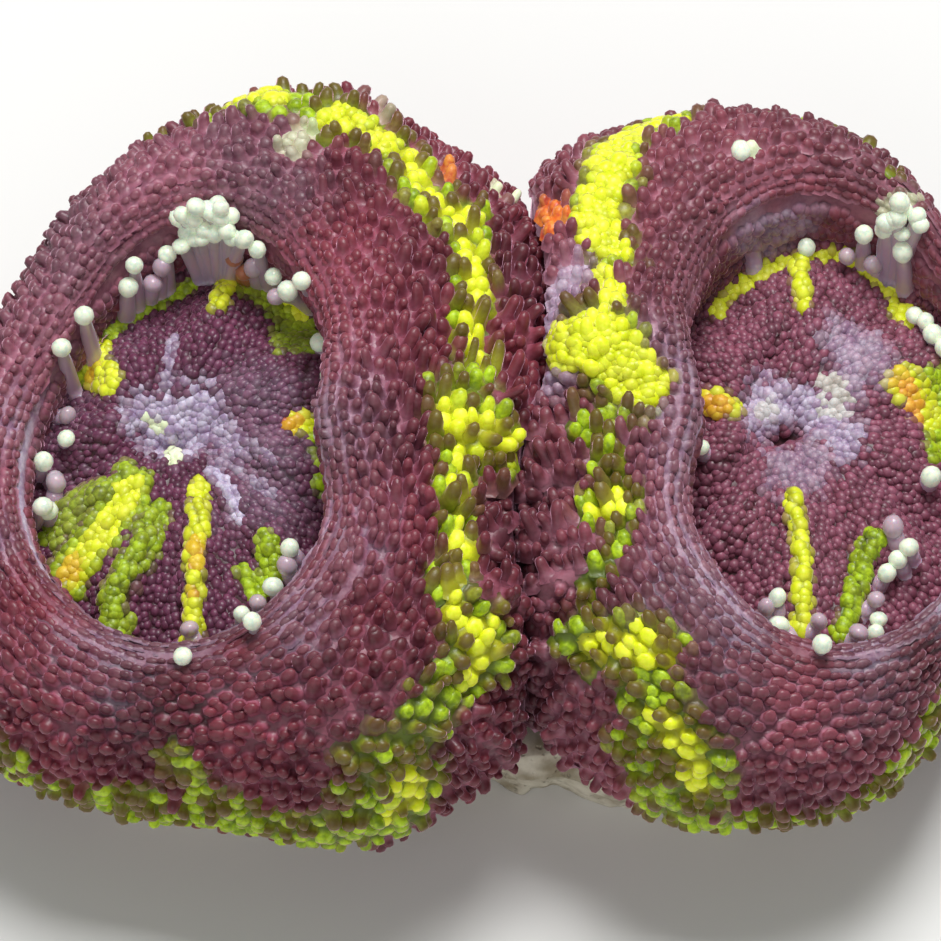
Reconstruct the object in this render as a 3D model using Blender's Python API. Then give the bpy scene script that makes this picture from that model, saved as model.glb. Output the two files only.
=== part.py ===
"""Acan coral with two polyps, as cut from its reef for display.

Two soft, knobbly polyps stand side by side on one low stub of pale skeleton, which is cut off flat
underneath. Each polyp is one closed skin: a mouth in the middle, an oral disc round it, a ring of
knob-tipped tentacles on the disc's margin, a swollen body wall that rises round the disc and falls
away outside, and an underside that sits on the skeleton. The two body walls press together along a
wavy crease, where a hairline gap keeps the solids apart.

Metres, +Z up. The origin is on the flat cut, under the crease. +X runs from the wide polyp to the
narrow one, and +Y is the far side.
"""

import math
from dataclasses import dataclass

import bmesh
import bpy
import numpy as np

MM = 0.001
SHARP_ANGLE = math.radians(30)

# Driving dimensions, in millimetres.
SKELETON_HEIGHT = 3.0
SEAT_GAP = 0.3  # between the skeleton's top and the flesh on it
HEM_SHARE = 0.80  # of the girth's reach, where the flesh meets the skeleton's top
HEM_RISE = 0.15
SEAT_SHARE = 0.62
THROAT_DEPTH = 0.8
CREASE_GAP = 0.3  # between the two polyps where they press together
CREASE_SOFTNESS = 0.3  # how gradually a body wall flattens against its neighbour
CREASE_START = -15.0  # along Y, where the first of its offsets lies
CREASE_STEP = 3.0
CREASE_OFFSETS = (0.0, 0.0, 0.05, 0.15, -0.3, 0.0, 0.8, 0.85, 0.7, 0.3, 0.1, 0.1)  # across X

# The skin's grid: columns around each polyp, and rows between one key ring and the next.
COLUMNS = 84
ROWS_TO_RING = {
    "mouth": 1,
    "pillow": 2,
    "margin": 2,
    "lip": 2,
    "crest": 2,
    "shoulder": 5,
    "girth": 4,
    "tuck": 2,
    "hem": 1,
    "seat": 1,
    "base": 1,
}

# Height of the knobs that stand on alternate grid points, at each key ring.
KNOB_HEIGHT = {
    "throat": 0.0,
    "mouth": 0.08,
    "pillow": 0.16,
    "margin": 0.0,
    "lip": 0.05,
    "crest": 0.50,
    "shoulder": 0.75,
    "girth": 0.70,
    "tuck": 0.40,
    "hem": 0.0,
    "seat": 0.0,
    "base": 0.0,
}
KNOB_VARIATION = 0.35
KNOB_SCATTER = 0.16  # how far a knob strays from its grid point, as a share of the grid's spacing

TENTACLE_EVERY = 3  # columns from one tentacle to the next
TENTACLE_STALK = (0.5, 1.1)  # shortest and longest
TENTACLE_STALK_WIDTH = 0.42
TENTACLE_TIP_WIDTH = 0.72


@dataclass(frozen=True)
class Ring:
    """A closed ring of the skin: its reach from its middle towards E, NE, N, NW, W, SW, S and SE,
    its mean height above the skeleton, how much higher it is on the east and on the north, and how
    far its middle is from the polyp's middle."""

    reach: tuple
    height: float
    rise_east: float
    rise_north: float
    shift: tuple = (0.0, 0.0)


@dataclass(frozen=True)
class Swelling:
    """A soft bulge of the body wall: its middle seen from above, its radius and its height."""

    middle: tuple
    radius: float
    height: float


@dataclass(frozen=True)
class Polyp:
    """One polyp: its middle, the side of the crease it is on, its key rings and its swellings."""

    name: str
    middle: tuple
    side: int
    mouth: Ring
    pillow: Ring
    margin: Ring
    lip: Ring
    crest: Ring
    girth: Ring
    swellings: tuple
    seed: int


WIDE_POLYP = Polyp(
    name="left_polyp",
    middle=(-11.5, 0.5),
    side=-1,
    mouth=Ring((1.6, 1.1, 0.7, 1.1, 1.6, 1.1, 0.7, 1.1), 5.2, 0.1, 0.1, (-0.9, 1.6)),
    pillow=Ring((3.2, 4.4, 4.4, 3.6, 3.0, 3.7, 4.9, 4.4), 5.7, 0.5, 0.7, (-0.3, 0.6)),
    margin=Ring((5.0, 7.3, 7.9, 6.0, 5.7, 6.6, 8.1, 7.2), 4.9, 0.7, 0.6),
    lip=Ring((4.4, 6.2, 8.8, 6.5, 6.2, 6.7, 7.6, 6.2), 7.8, 1.9, 0.4),
    crest=Ring((6.2, 8.3, 10.5, 7.7, 7.9, 8.4, 9.2, 8.7), 8.8, 2.0, 0.8),
    girth=Ring((14.0, 16.0, 13.7, 9.8, 10.3, 11.8, 11.7, 14.5), 3.6, 0.8, 0.5),
    swellings=(
        Swelling((-1.9, 0.6), 1.5, 0.8),
        Swelling((-1.9, -6.4), 1.4, 0.6),
        Swelling((-4.6, -9.4), 1.9, 0.7),
        Swelling((-6.3, -10.3), 2.4, 0.5),
        Swelling((-6.2, 13.3), 1.8, 0.9),
        Swelling((-9.0, 13.6), 1.5, 0.7),
    ),
    seed=11,
)

NARROW_POLYP = Polyp(
    name="right_polyp",
    middle=(10.3, 1.2),
    side=1,
    mouth=Ring((1.3, 1.5, 0.9, 0.9, 1.3, 1.5, 0.9, 0.9), 5.3, -0.1, 0.1, (-0.8, 1.2)),
    pillow=Ring((2.9, 4.3, 4.6, 3.9, 2.8, 3.6, 4.8, 3.8), 5.7, -0.4, 0.5, (-0.2, 0.4)),
    margin=Ring((4.7, 7.1, 8.3, 6.6, 4.4, 6.2, 8.2, 6.4), 4.9, -0.6, 0.5),
    lip=Ring((5.4, 7.6, 9.3, 6.2, 4.1, 6.1, 8.1, 7.0), 7.4, -1.8, 0.5),
    crest=Ring((6.6, 8.1, 10.9, 8.3, 5.7, 8.0, 9.3, 7.4), 8.3, -1.9, 0.9),
    girth=Ring((8.2, 9.0, 13.0, 15.1, 13.0, 13.2, 12.3, 8.0), 3.4, -0.8, 0.5),
    swellings=(
        Swelling((3.2, 3.7), 1.7, 1.0),
        Swelling((2.9, 10.2), 1.4, 0.7),
        Swelling((4.1, -6.8), 1.7, 0.6),
        Swelling((6.0, -9.6), 1.7, 0.6),
    ),
    seed=23,
)

# The skeleton's outline is a Cassini oval, which has one lobe under each polyp and a waist between.
SKELETON_MIDDLE = (-1.3, -0.2)
SKELETON_HALF_LENGTH = 17.0
SKELETON_HALF_WAIST = 6.4
SKELETON_BROADENING = 1.25  # across, along Y
SKELETON_RIBS = 44
RIB_CROWDING = 0.35  # evens out the ribs, which would crowd together at the waist
RIB_DEPTH = 0.35
SKELETON_LAYERS = ((0.0, 0.93), (1.0, 0.97), (2.3, 1.0), (SKELETON_HEIGHT, 0.95))  # (height, spread)


def smooth_curve(before, start, end, after, share):
    """Catmull-Rom curve from start to end, where share runs from 0 to 1."""
    bend = 2 * before - 5 * start + 4 * end - after
    return start + 0.5 * share * (
        end - before + share * (bend + share * (3 * (start - end) + after - before))
    )


def around(values, angle):
    """The closed smooth curve through equally spaced values, read at the given angles."""
    values = np.asarray(values, float)
    place = np.asarray(angle) / (2 * math.pi) * len(values)
    step = np.floor(place).astype(int)
    near = [values[(step + shift) % len(values)] for shift in (-1, 0, 1, 2)]
    return smooth_curve(*near, place - step)


def ring_at(ring, polyp, angle):
    """A ring's points at the given angles round its middle."""
    east, north = np.cos(angle), np.sin(angle)
    reach = around(ring.reach, angle)
    x = polyp.middle[0] + ring.shift[0] + reach * east
    y = polyp.middle[1] + ring.shift[1] + reach * north
    z = SKELETON_HEIGHT + ring.height + ring.rise_east * east + ring.rise_north * north
    return np.stack([x, y, z], axis=-1)


def level_ring(ring, middle, share, height):
    """A level ring whose points lie at a share of the way from a middle to another ring's."""
    spread = middle + share * (ring[:, :2] - middle)
    return np.column_stack([spread, np.full(len(ring), height)])


def rounded(end, girth):
    """The ring halfway round the quarter ellipses from a ring above or below to the girth, where
    the wall stands upright."""
    slant = math.sqrt(0.5)
    ring = end + slant * (girth - end)
    ring[:, 2] = girth[:, 2] + slant * (end[:, 2] - girth[:, 2])
    return ring


def key_rings(polyp, angle):
    """Every key ring of a polyp from its throat to the middle of its underside, in order, as
    {name: points}."""
    floor = SKELETON_HEIGHT + SEAT_GAP
    middle = np.array(polyp.middle)
    mouth = ring_at(polyp.mouth, polyp, angle)
    crest = ring_at(polyp.crest, polyp, angle)
    girth = ring_at(polyp.girth, polyp, angle)
    hem = level_ring(girth, middle, HEM_SHARE, floor + HEM_RISE)
    throat_height = SKELETON_HEIGHT + polyp.mouth.height - THROAT_DEPTH
    return {
        "throat": level_ring(mouth, middle + polyp.mouth.shift, 0.0, throat_height),
        "mouth": mouth,
        "pillow": ring_at(polyp.pillow, polyp, angle),
        "margin": ring_at(polyp.margin, polyp, angle),
        "lip": ring_at(polyp.lip, polyp, angle),
        "crest": crest,
        "shoulder": rounded(crest, girth),
        "girth": girth,
        "tuck": rounded(hem, girth),
        "hem": hem,
        "seat": level_ring(girth, middle, SEAT_SHARE, floor),
        "base": level_ring(girth, middle, 0.0, floor),
    }


def crease_x(y):
    """Where the crease lies across X at places along Y: a smooth curve through its offsets."""
    place = np.clip((y - CREASE_START) / CREASE_STEP, 0, len(CREASE_OFFSETS) - 1.001)
    step = np.floor(place).astype(int)
    offsets = np.pad(CREASE_OFFSETS, 1, mode="edge")
    return smooth_curve(*(offsets[step + shift] for shift in range(4)), place - step)


def press_against_crease(points, side):
    """The points kept on their own side of the crease, flattening softly as they near it."""
    middle = crease_x(points[..., 1])
    away = side * (points[..., 0] - middle) - CREASE_GAP / 2
    kept = CREASE_GAP / 2 + CREASE_SOFTNESS * np.logaddexp(0, away / CREASE_SOFTNESS)
    pressed = points.copy()
    pressed[..., 0] = middle + side * kept
    return pressed


def skin_grid(polyp):
    """The grid's points before the knobs, as (row, column, xyz) in mm, with each row's knob height
    and the name of the key ring that a row lies on. Past the throat and the base, the curve across
    the rings runs on to the ring on the other side."""
    angle = np.arange(COLUMNS) * 2 * math.pi / COLUMNS
    rings = key_rings(polyp, angle)
    names = list(rings)
    lines = list(rings.values())
    beyond_throat = np.roll(lines[1], COLUMNS // 2, axis=0)
    beyond_base = np.roll(lines[-2], COLUMNS // 2, axis=0)
    lines = [beyond_throat, *lines, beyond_base]
    rows, knobs, row_names = [], [], []
    for index, (name, following) in enumerate(zip(names, names[1:])):
        count = ROWS_TO_RING[following]
        for step in range(count):
            share = step / count
            rows.append(smooth_curve(*lines[index : index + 4], share))
            knobs.append(KNOB_HEIGHT[name] + share * (KNOB_HEIGHT[following] - KNOB_HEIGHT[name]))
            row_names.append("" if step else name)
    rows.append(rings["base"])
    knobs.append(KNOB_HEIGHT["base"])
    row_names.append("base")
    return np.array(rows), np.array(knobs), row_names


def grid_directions(points):
    """At each grid point, the steps along its row and down its column, and the unit direction
    out of the skin."""
    along = (np.roll(points, -1, axis=1) - np.roll(points, 1, axis=1)) / 2
    down = np.gradient(points, axis=0)
    out = np.cross(down, along)
    return along, down, out / np.maximum(np.linalg.norm(out, axis=-1, keepdims=True), 1e-9)


def swell(points, knobs, polyp):
    """The grid with the polyp's swellings raised, where its wall has knobs."""
    out = grid_directions(points)[2]
    lift = np.zeros(points.shape[:2])
    for swelling in polyp.swellings:
        far = np.linalg.norm(points[..., :2] - swelling.middle, axis=-1) / swelling.radius
        lift += swelling.height * np.exp(-(far**2))
    share = np.clip(knobs / KNOB_HEIGHT["crest"], 0, 1)
    return points + (lift * share[:, None])[..., None] * out


def raise_knobs(points, knobs, polyp):
    """Lifts every second point of the chequered grid along its outward direction by its knob, a
    little off its place."""
    random = np.random.default_rng(polyp.seed)
    along, down, out = grid_directions(points)
    rows, columns = points.shape[:2]
    row, column = np.meshgrid(np.arange(rows), np.arange(columns), indexing="ij")
    lift = knobs[:, None] * (1 + KNOB_VARIATION * random.uniform(-1, 1, (rows, columns)))
    stray = KNOB_SCATTER * random.uniform(-1, 1, (2, rows, columns, 1))
    moved = lift[..., None] * out + (stray[0] * along + stray[1] * down) * (knobs > 0)[:, None, None]
    return points + moved * ((row + column) % 2 == 0)[..., None]


def add_skin(mesh, points):
    """Builds the closed skin's points in a bmesh, with a fan round the throat, the grid's first
    row, and one round the base, its last. Returns the cells between them as {(row, column): their
    four corners}."""
    rows, columns = points.shape[:2]
    grid = [[mesh.verts.new(point * MM) for point in row] for row in points[1:-1]]
    throat = mesh.verts.new(points[0, 0] * MM)
    base = mesh.verts.new(points[-1, 0] * MM)
    cells = {}
    for row in range(rows - 3):
        for column in range(columns):
            after = (column + 1) % columns
            a, b = grid[row][column], grid[row + 1][column]
            c, d = grid[row + 1][after], grid[row][after]
            cells[row + 1, column] = (a, b, c, d)
    for column in range(columns):
        after = (column + 1) % columns
        mesh.faces.new((throat, grid[0][column], grid[0][after]))
        mesh.faces.new((grid[-1][column], base, grid[-1][after]))
    return cells


def fill_cells(mesh, cells, kept_whole):
    """Fills the grid's cells, as one quad where the cell is kept whole for a tentacle and as two
    triangles elsewhere, split between the two low corners so that each knob stands alone. Returns
    the quads."""
    quads = []
    for (row, column), (a, b, c, d) in cells.items():
        if (row, column) in kept_whole:
            quads.append(mesh.faces.new((a, b, c, d)))
        elif (row + column) % 2 == 0:
            mesh.faces.new((a, b, d))
            mesh.faces.new((b, c, d))
        else:
            mesh.faces.new((a, b, c))
            mesh.faces.new((a, c, d))
    return quads


def push_out(mesh, face, distance, width):
    """Extrudes a face along its normal and resizes its end to a width. Returns the end face."""
    normal = face.normal.copy()
    made = bmesh.ops.extrude_discrete_faces(mesh, faces=[face])["faces"][0]
    middle = made.calc_center_median()
    for vertex in made.verts:
        spoke = vertex.co - middle
        spoke -= normal * spoke.dot(normal)
        vertex.co = middle + spoke.normalized() * width / 2 + normal * distance
    mesh.normal_update()
    return made


def grow_tentacles(mesh, quads, seed):
    """Draws each quad out into a stalk with a round knob on its end."""
    mesh.normal_update()
    tip = TENTACLE_TIP_WIDTH * MM
    stalks = np.random.default_rng(seed).uniform(*TENTACLE_STALK, len(quads)) * MM
    for quad, stalk in zip(quads, stalks):
        neck = push_out(mesh, quad, stalk, TENTACLE_STALK_WIDTH * MM)
        wide = push_out(mesh, neck, 0.35 * tip, tip)
        narrow = push_out(mesh, wide, 0.35 * tip, 0.72 * tip)
        push_out(mesh, narrow, 0.12 * tip, 0.3 * tip)


def finish(name, colour, roughness):
    """A Principled material of one colour and roughness."""
    material = bpy.data.materials.new(name)
    material.use_nodes = True
    shader = material.node_tree.nodes["Principled BSDF"]
    shader.inputs["Base Color"].default_value = (*colour, 1)
    shader.inputs["Roughness"].default_value = roughness
    shader.inputs["Metallic"].default_value = 0
    return material


def add_object(name, mesh, material):
    """Makes an object of a bmesh, shaded smooth but for its sharp edges, with one material."""
    data = bpy.data.meshes.new(name)
    bmesh.ops.recalc_face_normals(mesh, faces=mesh.faces)
    mesh.to_mesh(data)
    mesh.free()
    data.shade_smooth()
    data.set_sharp_from_angle(angle=SHARP_ANGLE)
    data.materials.append(material)
    made = bpy.data.objects.new(name, data)
    bpy.context.scene.collection.objects.link(made)
    return made


def make_polyp(polyp, material):
    """One polyp: the knobbly skin, with the ring of tentacles grown out of it just inside the
    margin."""
    points, knobs, row_names = skin_grid(polyp)
    points = raise_knobs(swell(points, knobs, polyp), knobs, polyp)
    points = press_against_crease(points, polyp.side)
    floor = SKELETON_HEIGHT + SEAT_GAP
    points[..., 2] = np.maximum(points[..., 2], floor)
    mesh = bmesh.new()
    cells = add_skin(mesh, points)
    rooted_row = row_names.index("margin") - 1
    rooted = {(rooted_row, column) for column in range(0, COLUMNS, TENTACLE_EVERY)}
    grow_tentacles(mesh, fill_cells(mesh, cells, rooted), polyp.seed)
    return add_object(polyp.name, mesh, material)


def skeleton_outline(spread):
    """Points round the skeleton: a Cassini oval with a rib on every second point. The oval's reach
    r solves r^4 - 2 a^2 r^2 cos(2 angle) + a^4 = b^4, with a and b from its length and waist."""
    waist = SKELETON_HALF_WAIST
    focus_squared = (SKELETON_HALF_LENGTH**2 - waist**2) / 2
    size_squared = (SKELETON_HALF_LENGTH**2 + waist**2) / 2
    angle = np.arange(2 * SKELETON_RIBS) * math.pi / SKELETON_RIBS
    angle = angle - RIB_CROWDING * np.sin(2 * angle) / 2
    root = np.sqrt(size_squared**2 - (focus_squared * np.sin(2 * angle)) ** 2)
    reach = spread * np.sqrt(focus_squared * np.cos(2 * angle) + root)
    reach = reach - RIB_DEPTH * (np.arange(len(angle)) % 2)
    x = SKELETON_MIDDLE[0] + reach * np.cos(angle)
    y = SKELETON_MIDDLE[1] + reach * np.sin(angle) * SKELETON_BROADENING
    return np.stack([x, y], axis=-1)


def make_skeleton(material):
    """The low ribbed stub of skeleton, closed by its flat cut below and a flat top."""
    mesh = bmesh.new()
    layers = []
    for height, spread in SKELETON_LAYERS:
        outline = skeleton_outline(spread)
        layers.append([mesh.verts.new((x * MM, y * MM, height * MM)) for x, y in outline])
    for lower, upper in zip(layers, layers[1:]):
        for index, corner in enumerate(lower):
            after = (index + 1) % len(lower)
            mesh.faces.new((corner, lower[after], upper[after], upper[index]))
    mesh.faces.new(layers[0][::-1])
    mesh.faces.new(layers[-1])
    return add_object("skeleton", mesh, material)


def main():
    """Clears the scene and makes the coral."""
    for leftover in list(bpy.data.objects):
        bpy.data.objects.remove(leftover)
    make_skeleton(finish("pale_skeleton", (0.55, 0.52, 0.46), 0.85))
    make_polyp(WIDE_POLYP, finish("wine_red_flesh", (0.30, 0.09, 0.12), 0.4))
    make_polyp(NARROW_POLYP, finish("plum_red_flesh", (0.34, 0.11, 0.14), 0.4))


main()
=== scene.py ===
"""Looks of an acan coral, two knobbly polyps on one stub of skeleton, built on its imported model.

Lengths are in millimetres until a mesh is written in metres. A place on a polyp is a pair (turn,
across): the degrees anticlockwise from east, seen from above, and the number of key rings out from
the throat, as Line counts them, so that 4.5 is halfway from the lip to the crest.
"""

import logging
import math
from dataclasses import dataclass
from enum import Enum, IntEnum
from functools import cached_property
from typing import Callable, Optional, Sequence

import bpy
import numpy as np
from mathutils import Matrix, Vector


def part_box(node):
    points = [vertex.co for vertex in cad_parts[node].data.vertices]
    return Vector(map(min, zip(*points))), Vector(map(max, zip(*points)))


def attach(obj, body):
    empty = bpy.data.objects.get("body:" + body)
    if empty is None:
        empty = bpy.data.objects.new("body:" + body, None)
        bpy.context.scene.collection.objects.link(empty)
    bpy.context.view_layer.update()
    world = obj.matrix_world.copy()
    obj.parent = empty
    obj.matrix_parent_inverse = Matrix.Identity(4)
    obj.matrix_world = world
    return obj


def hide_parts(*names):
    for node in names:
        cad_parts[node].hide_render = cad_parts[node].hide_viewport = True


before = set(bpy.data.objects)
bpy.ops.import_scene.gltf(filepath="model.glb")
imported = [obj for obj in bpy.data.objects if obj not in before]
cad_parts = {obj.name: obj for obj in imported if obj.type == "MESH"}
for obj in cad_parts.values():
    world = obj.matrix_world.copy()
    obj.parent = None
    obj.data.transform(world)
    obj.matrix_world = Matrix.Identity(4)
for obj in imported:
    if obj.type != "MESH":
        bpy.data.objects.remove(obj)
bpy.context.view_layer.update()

LOG = logging.getLogger("acan_coral")
MM = 0.001
CHUNK = 4000
Array = np.ndarray
Place = tuple[float, float]
Colour = tuple[float, float, float, float]


class Line(IntEnum):
    """A polyp's key rings, from the middle of its mouth out and round to the middle of its base."""

    THROAT = 0
    MOUTH = 1
    PILLOW = 2
    MARGIN = 3
    LIP = 4
    CREST = 5
    SHOULDER = 6
    GIRTH = 7
    TUCK = 8
    HEM = 9
    SEAT = 10
    BASE = 11


class Pigment(Enum):
    """The pigments that lie over the flesh's ground colour, named as their vertex attributes."""

    PALE = "pale"
    LEAF = "leaf"
    LEMON = "lemon"
    EMBER = "ember"
    MILK = "milk"


Masks = dict[Pigment, Array]


# ---- Shape arithmetic ----


def srgb(red: int, green: int, blue: int) -> Colour:
    """A linear colour from 8-bit display values.

    Args:
        red: 0 to 255.
        green: 0 to 255.
        blue: 0 to 255.

    Returns:
        The opaque linear colour.
    """
    display = np.array([red, green, blue]) / 255
    linear = np.where(display <= 0.04045, display / 12.92, ((display + 0.055) / 1.055) ** 2.4)
    return (*linear.tolist(), 1.0)


def smooth_step(start: float, end: float, value: Array) -> Array:
    """0 before start, 1 past end, and t*t*(3 - 2t) between them, where t is the share of the way.

    Args:
        start: Where the step begins; it may be the larger of the two.
        end: Where it is complete.
        value: Any array.

    Returns:
        An array of the same shape.
    """
    share = np.clip((value - start) / (end - start), 0, 1)
    return share * share * (3 - 2 * share)


def hump(distance: Array, reach: float) -> Array:
    """A bell curve, 1 at distance 0: e to the power of minus the square of distance over reach."""
    return np.exp(-((distance / reach) ** 2))


def even_turns(count: int) -> Array:
    """The starts of a count of equal parts of a full turn, in radians from east."""
    return np.arange(count) * 2 * math.pi / count


def smooth_curve(before: Array, start: Array, end: Array, after: Array, share: Array) -> Array:
    """Catmull-Rom curve: the cubic from start to end whose slopes are half of what lies either side.

    Args:
        before: The value ahead of the start.
        start: The value at share 0.
        end: The value at share 1.
        after: The value past the end.
        share: How far along, from 0 to 1.

    Returns:
        The curve's values.
    """
    bend = 2 * before - 5 * start + 4 * end - after
    return start + 0.5 * share * (
        end - before + share * (bend + share * (3 * (start - end) + after - before))
    )


def around(values: Sequence[float], turn: Array) -> Array:
    """The closed smooth curve through equally spaced values, from east anticlockwise.

    Args:
        values: One value for each equal part of the turn.
        turn: Angles in radians.

    Returns:
        The curve read at the angles.
    """
    ring = np.asarray(values, float)
    place = turn / (2 * math.pi) * len(ring)
    step = np.floor(place).astype(int)
    near = [ring[(step + shift) % len(ring)] for shift in (-1, 0, 1, 2)]
    return smooth_curve(*near, place - step)


def unit_rows(vectors: Array) -> Array:
    """Each row scaled to length 1, and straight up where it has no length."""
    length = np.linalg.norm(vectors, axis=-1, keepdims=True)
    return np.where(length > 1e-9, vectors / np.maximum(length, 1e-9), (0.0, 0.0, 1.0))


class Lattice:
    """Smooth noise: random numbers on a cubic lattice, joined by smooth steps along each axis."""

    SIZE = 24

    def __init__(self, seed: int) -> None:
        """Draws the lattice's numbers."""
        self.numbers = np.random.default_rng(seed).uniform(-1, 1, (self.SIZE,) * 3)

    def __call__(self, points: Array, grain: float) -> Array:
        """The noise at some points.

        Args:
            points: (n, 3) places.
            grain: The lattice's spacing, in the points' unit.

        Returns:
            n values between -1 and 1.
        """
        place = points / grain
        corner = np.floor(place).astype(int)
        share = smooth_step(0, 1, place - corner)
        total = np.zeros(len(points))
        for offset in np.ndindex(2, 2, 2):
            at = (corner + offset) % self.SIZE
            weight = np.where(offset, share, 1 - share).prod(axis=1)
            total += weight * self.numbers[at[:, 0], at[:, 1], at[:, 2]]
        return total


def distance_to_path(points: Array, path: Array) -> Array:
    """How far each point is from a path: the least of its distances to the path's segments, each
    measured to the foot of the perpendicular kept within the segment.

    Args:
        points: (n, 3) places.
        path: (m, 3) places along the path.

    Returns:
        n distances.
    """
    least = np.full(len(points), np.inf)
    for start, end in zip(path, path[1:]):
        run = end - start
        share = np.clip((points - start) @ run / max(run @ run, 1e-12), 0, 1)
        least = np.minimum(least, np.linalg.norm(points - start - share[:, None] * run, axis=1))
    return least


def distance_to_nearest(points: Array, seeds: Array) -> Array:
    """How far each point is from the nearest seed: the root of the least of |s|^2 - 2 p.s + |p|^2,
    worked out for a chunk of points at a time.

    Args:
        points: (n, 3) places.
        seeds: (m, 3) places.

    Returns:
        n distances.
    """
    squares = (seeds**2).sum(axis=1)
    least = []
    for start in range(0, len(points), CHUNK):
        part = points[start : start + CHUNK]
        least.append((squares - 2 * part @ seeds.T).min(axis=1) + (part**2).sum(axis=1))
    return np.sqrt(np.maximum(np.concatenate(least), 0))


# ---- A polyp's form ----


@dataclass(frozen=True)
class Ring:
    """A closed ring of the skin: its reach from its middle towards E, NE, N, NW, W, SW, S and SE,
    its mean height above the skeleton, how much higher it is on the east and on the north, and how
    far its middle is from the polyp's middle."""

    reach: tuple[float, ...]
    height: float
    rise_east: float
    rise_north: float
    shift: tuple[float, float] = (0.0, 0.0)


@dataclass(frozen=True)
class Swelling:
    """A soft bulge of the body wall: its middle seen from above, its radius and its height."""

    middle: tuple[float, float]
    radius: float
    height: float


@dataclass(frozen=True)
class Fold:
    """A ridge, or a groove where its height is negative, along a route over the skin."""

    route: tuple[Place, ...]
    width: float
    height: float


@dataclass(frozen=True)
class Stroke:
    """A pigment laid along a route over the skin, or round one place."""

    pigment: Pigment
    route: tuple[Place, ...]
    width: float
    strength: float = 1.0
    raggedness: float = 0.45


# How far the flesh's floor lies above the skeleton's top, the shares of the girth's reach that the
# hem and the seat have, how high the hem is over the floor, and how deep the throat is.
SEAT_GAP = 0.3
HEM_SHARE, SEAT_SHARE = 0.80, 0.62
HEM_RISE, THROAT_DEPTH = 0.15, 0.8
# The crease between the polyps: the gap left in it, how softly the flesh turns into it, and how far
# it lies to the east at equal steps along Y.
CREASE_GAP, CREASE_SOFTNESS = 0.04, 0.3
CREASE_START, CREASE_STEP = -15.0, 3.0
CREASE_OFFSETS = (0.0, 0.0, 0.05, 0.15, -0.3, 0.0, 0.8, 0.85, 0.7, 0.3, 0.1, 0.1)
# Half the steps that a skin's facing is taken over, in rings and in radians; the rows and columns
# of a table of distances; and the points from each place of a route to the next.
FACING_RINGS, FACING_TURN = 0.02, 0.006
ARC_TURNS, ARC_STEPS = 240, 240
ROUTE_STEPS = 6
# Noise on the skin as a height and a grain, coarse and fine on the wall, and on the disc.
LUMPS, BUMPS, CRUMPLES = (0.13, 2.6), (0.06, 1.1), (0.14, 1.5)
# Ridges as a height, a pitch and how far out they reach: along the lip, and across the crease.
LIP_RIDGES, FURROWS = (0.045, 0.46, 2.0), (0.26, 1.8, 2.6)
# The height of the disc's radial lobes.
LOBE_HEIGHT = 0.24
# The far side, the front, and both as spans of the turn's sine, and how far the front lip reaches.
FAR_SPAN, FRONT_SPAN, BOTH_SPAN = (0.1, 0.8), (-0.1, -0.7), (0.2, 0.9)
FRONT_REACH = 4.5
# The painted shade in the crease: how dark, how far from it, and from where to where along Y.
CREASE_SHADE_DEPTH, CREASE_REACH, CREASE_SPAN = 0.85, 1.8, (2.0, -3.0)
# The haze on the lip's edge, as a strength and a width in rings, and beside it, in mm.
EDGE_HAZE, BAND_HAZE = (0.85, 0.20), (0.55, 2.6)
# Where the skin stands on the scale to the tips: on the wall, how much higher by the lip, inside it,
# on the far side and by noise, how much of it the front lip loses to the painted shade of its
# furrows, and the most that it is.
NET, NET_BY_LIP, NET_INSIDE, NET_FAR, NET_NOISE = 0.28, 0.10, 0.20, 0.12, 0.10
FURROW_SHADE, NET_MOST = 0.95, 0.45


@dataclass(frozen=True)
class Seating:
    """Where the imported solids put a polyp: its middle, the floor of its flesh just above the
    skeleton's top, and how many millimetres one of the design's units takes."""

    middle: tuple[float, float]
    floor: float
    unit: float

    @classmethod
    def in_frame(cls, node: str, length: float, share: tuple[float, float]) -> "Seating":
        """Reads a polyp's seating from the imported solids.

        Args:
            node: The polyp's node.
            length: The polyp's length along Y in design units.
            share: Where its middle lies between the node's lowest and highest corners.

        Returns:
            The seating, in millimetres.
        """
        low, high = (np.array(corner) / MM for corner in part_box(node))
        middle = low[:2] + np.array(share) * (high - low)[:2]
        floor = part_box("skeleton")[1][2] / MM + SEAT_GAP
        return cls(tuple(middle), floor, (high - low)[1] / length)


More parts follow.
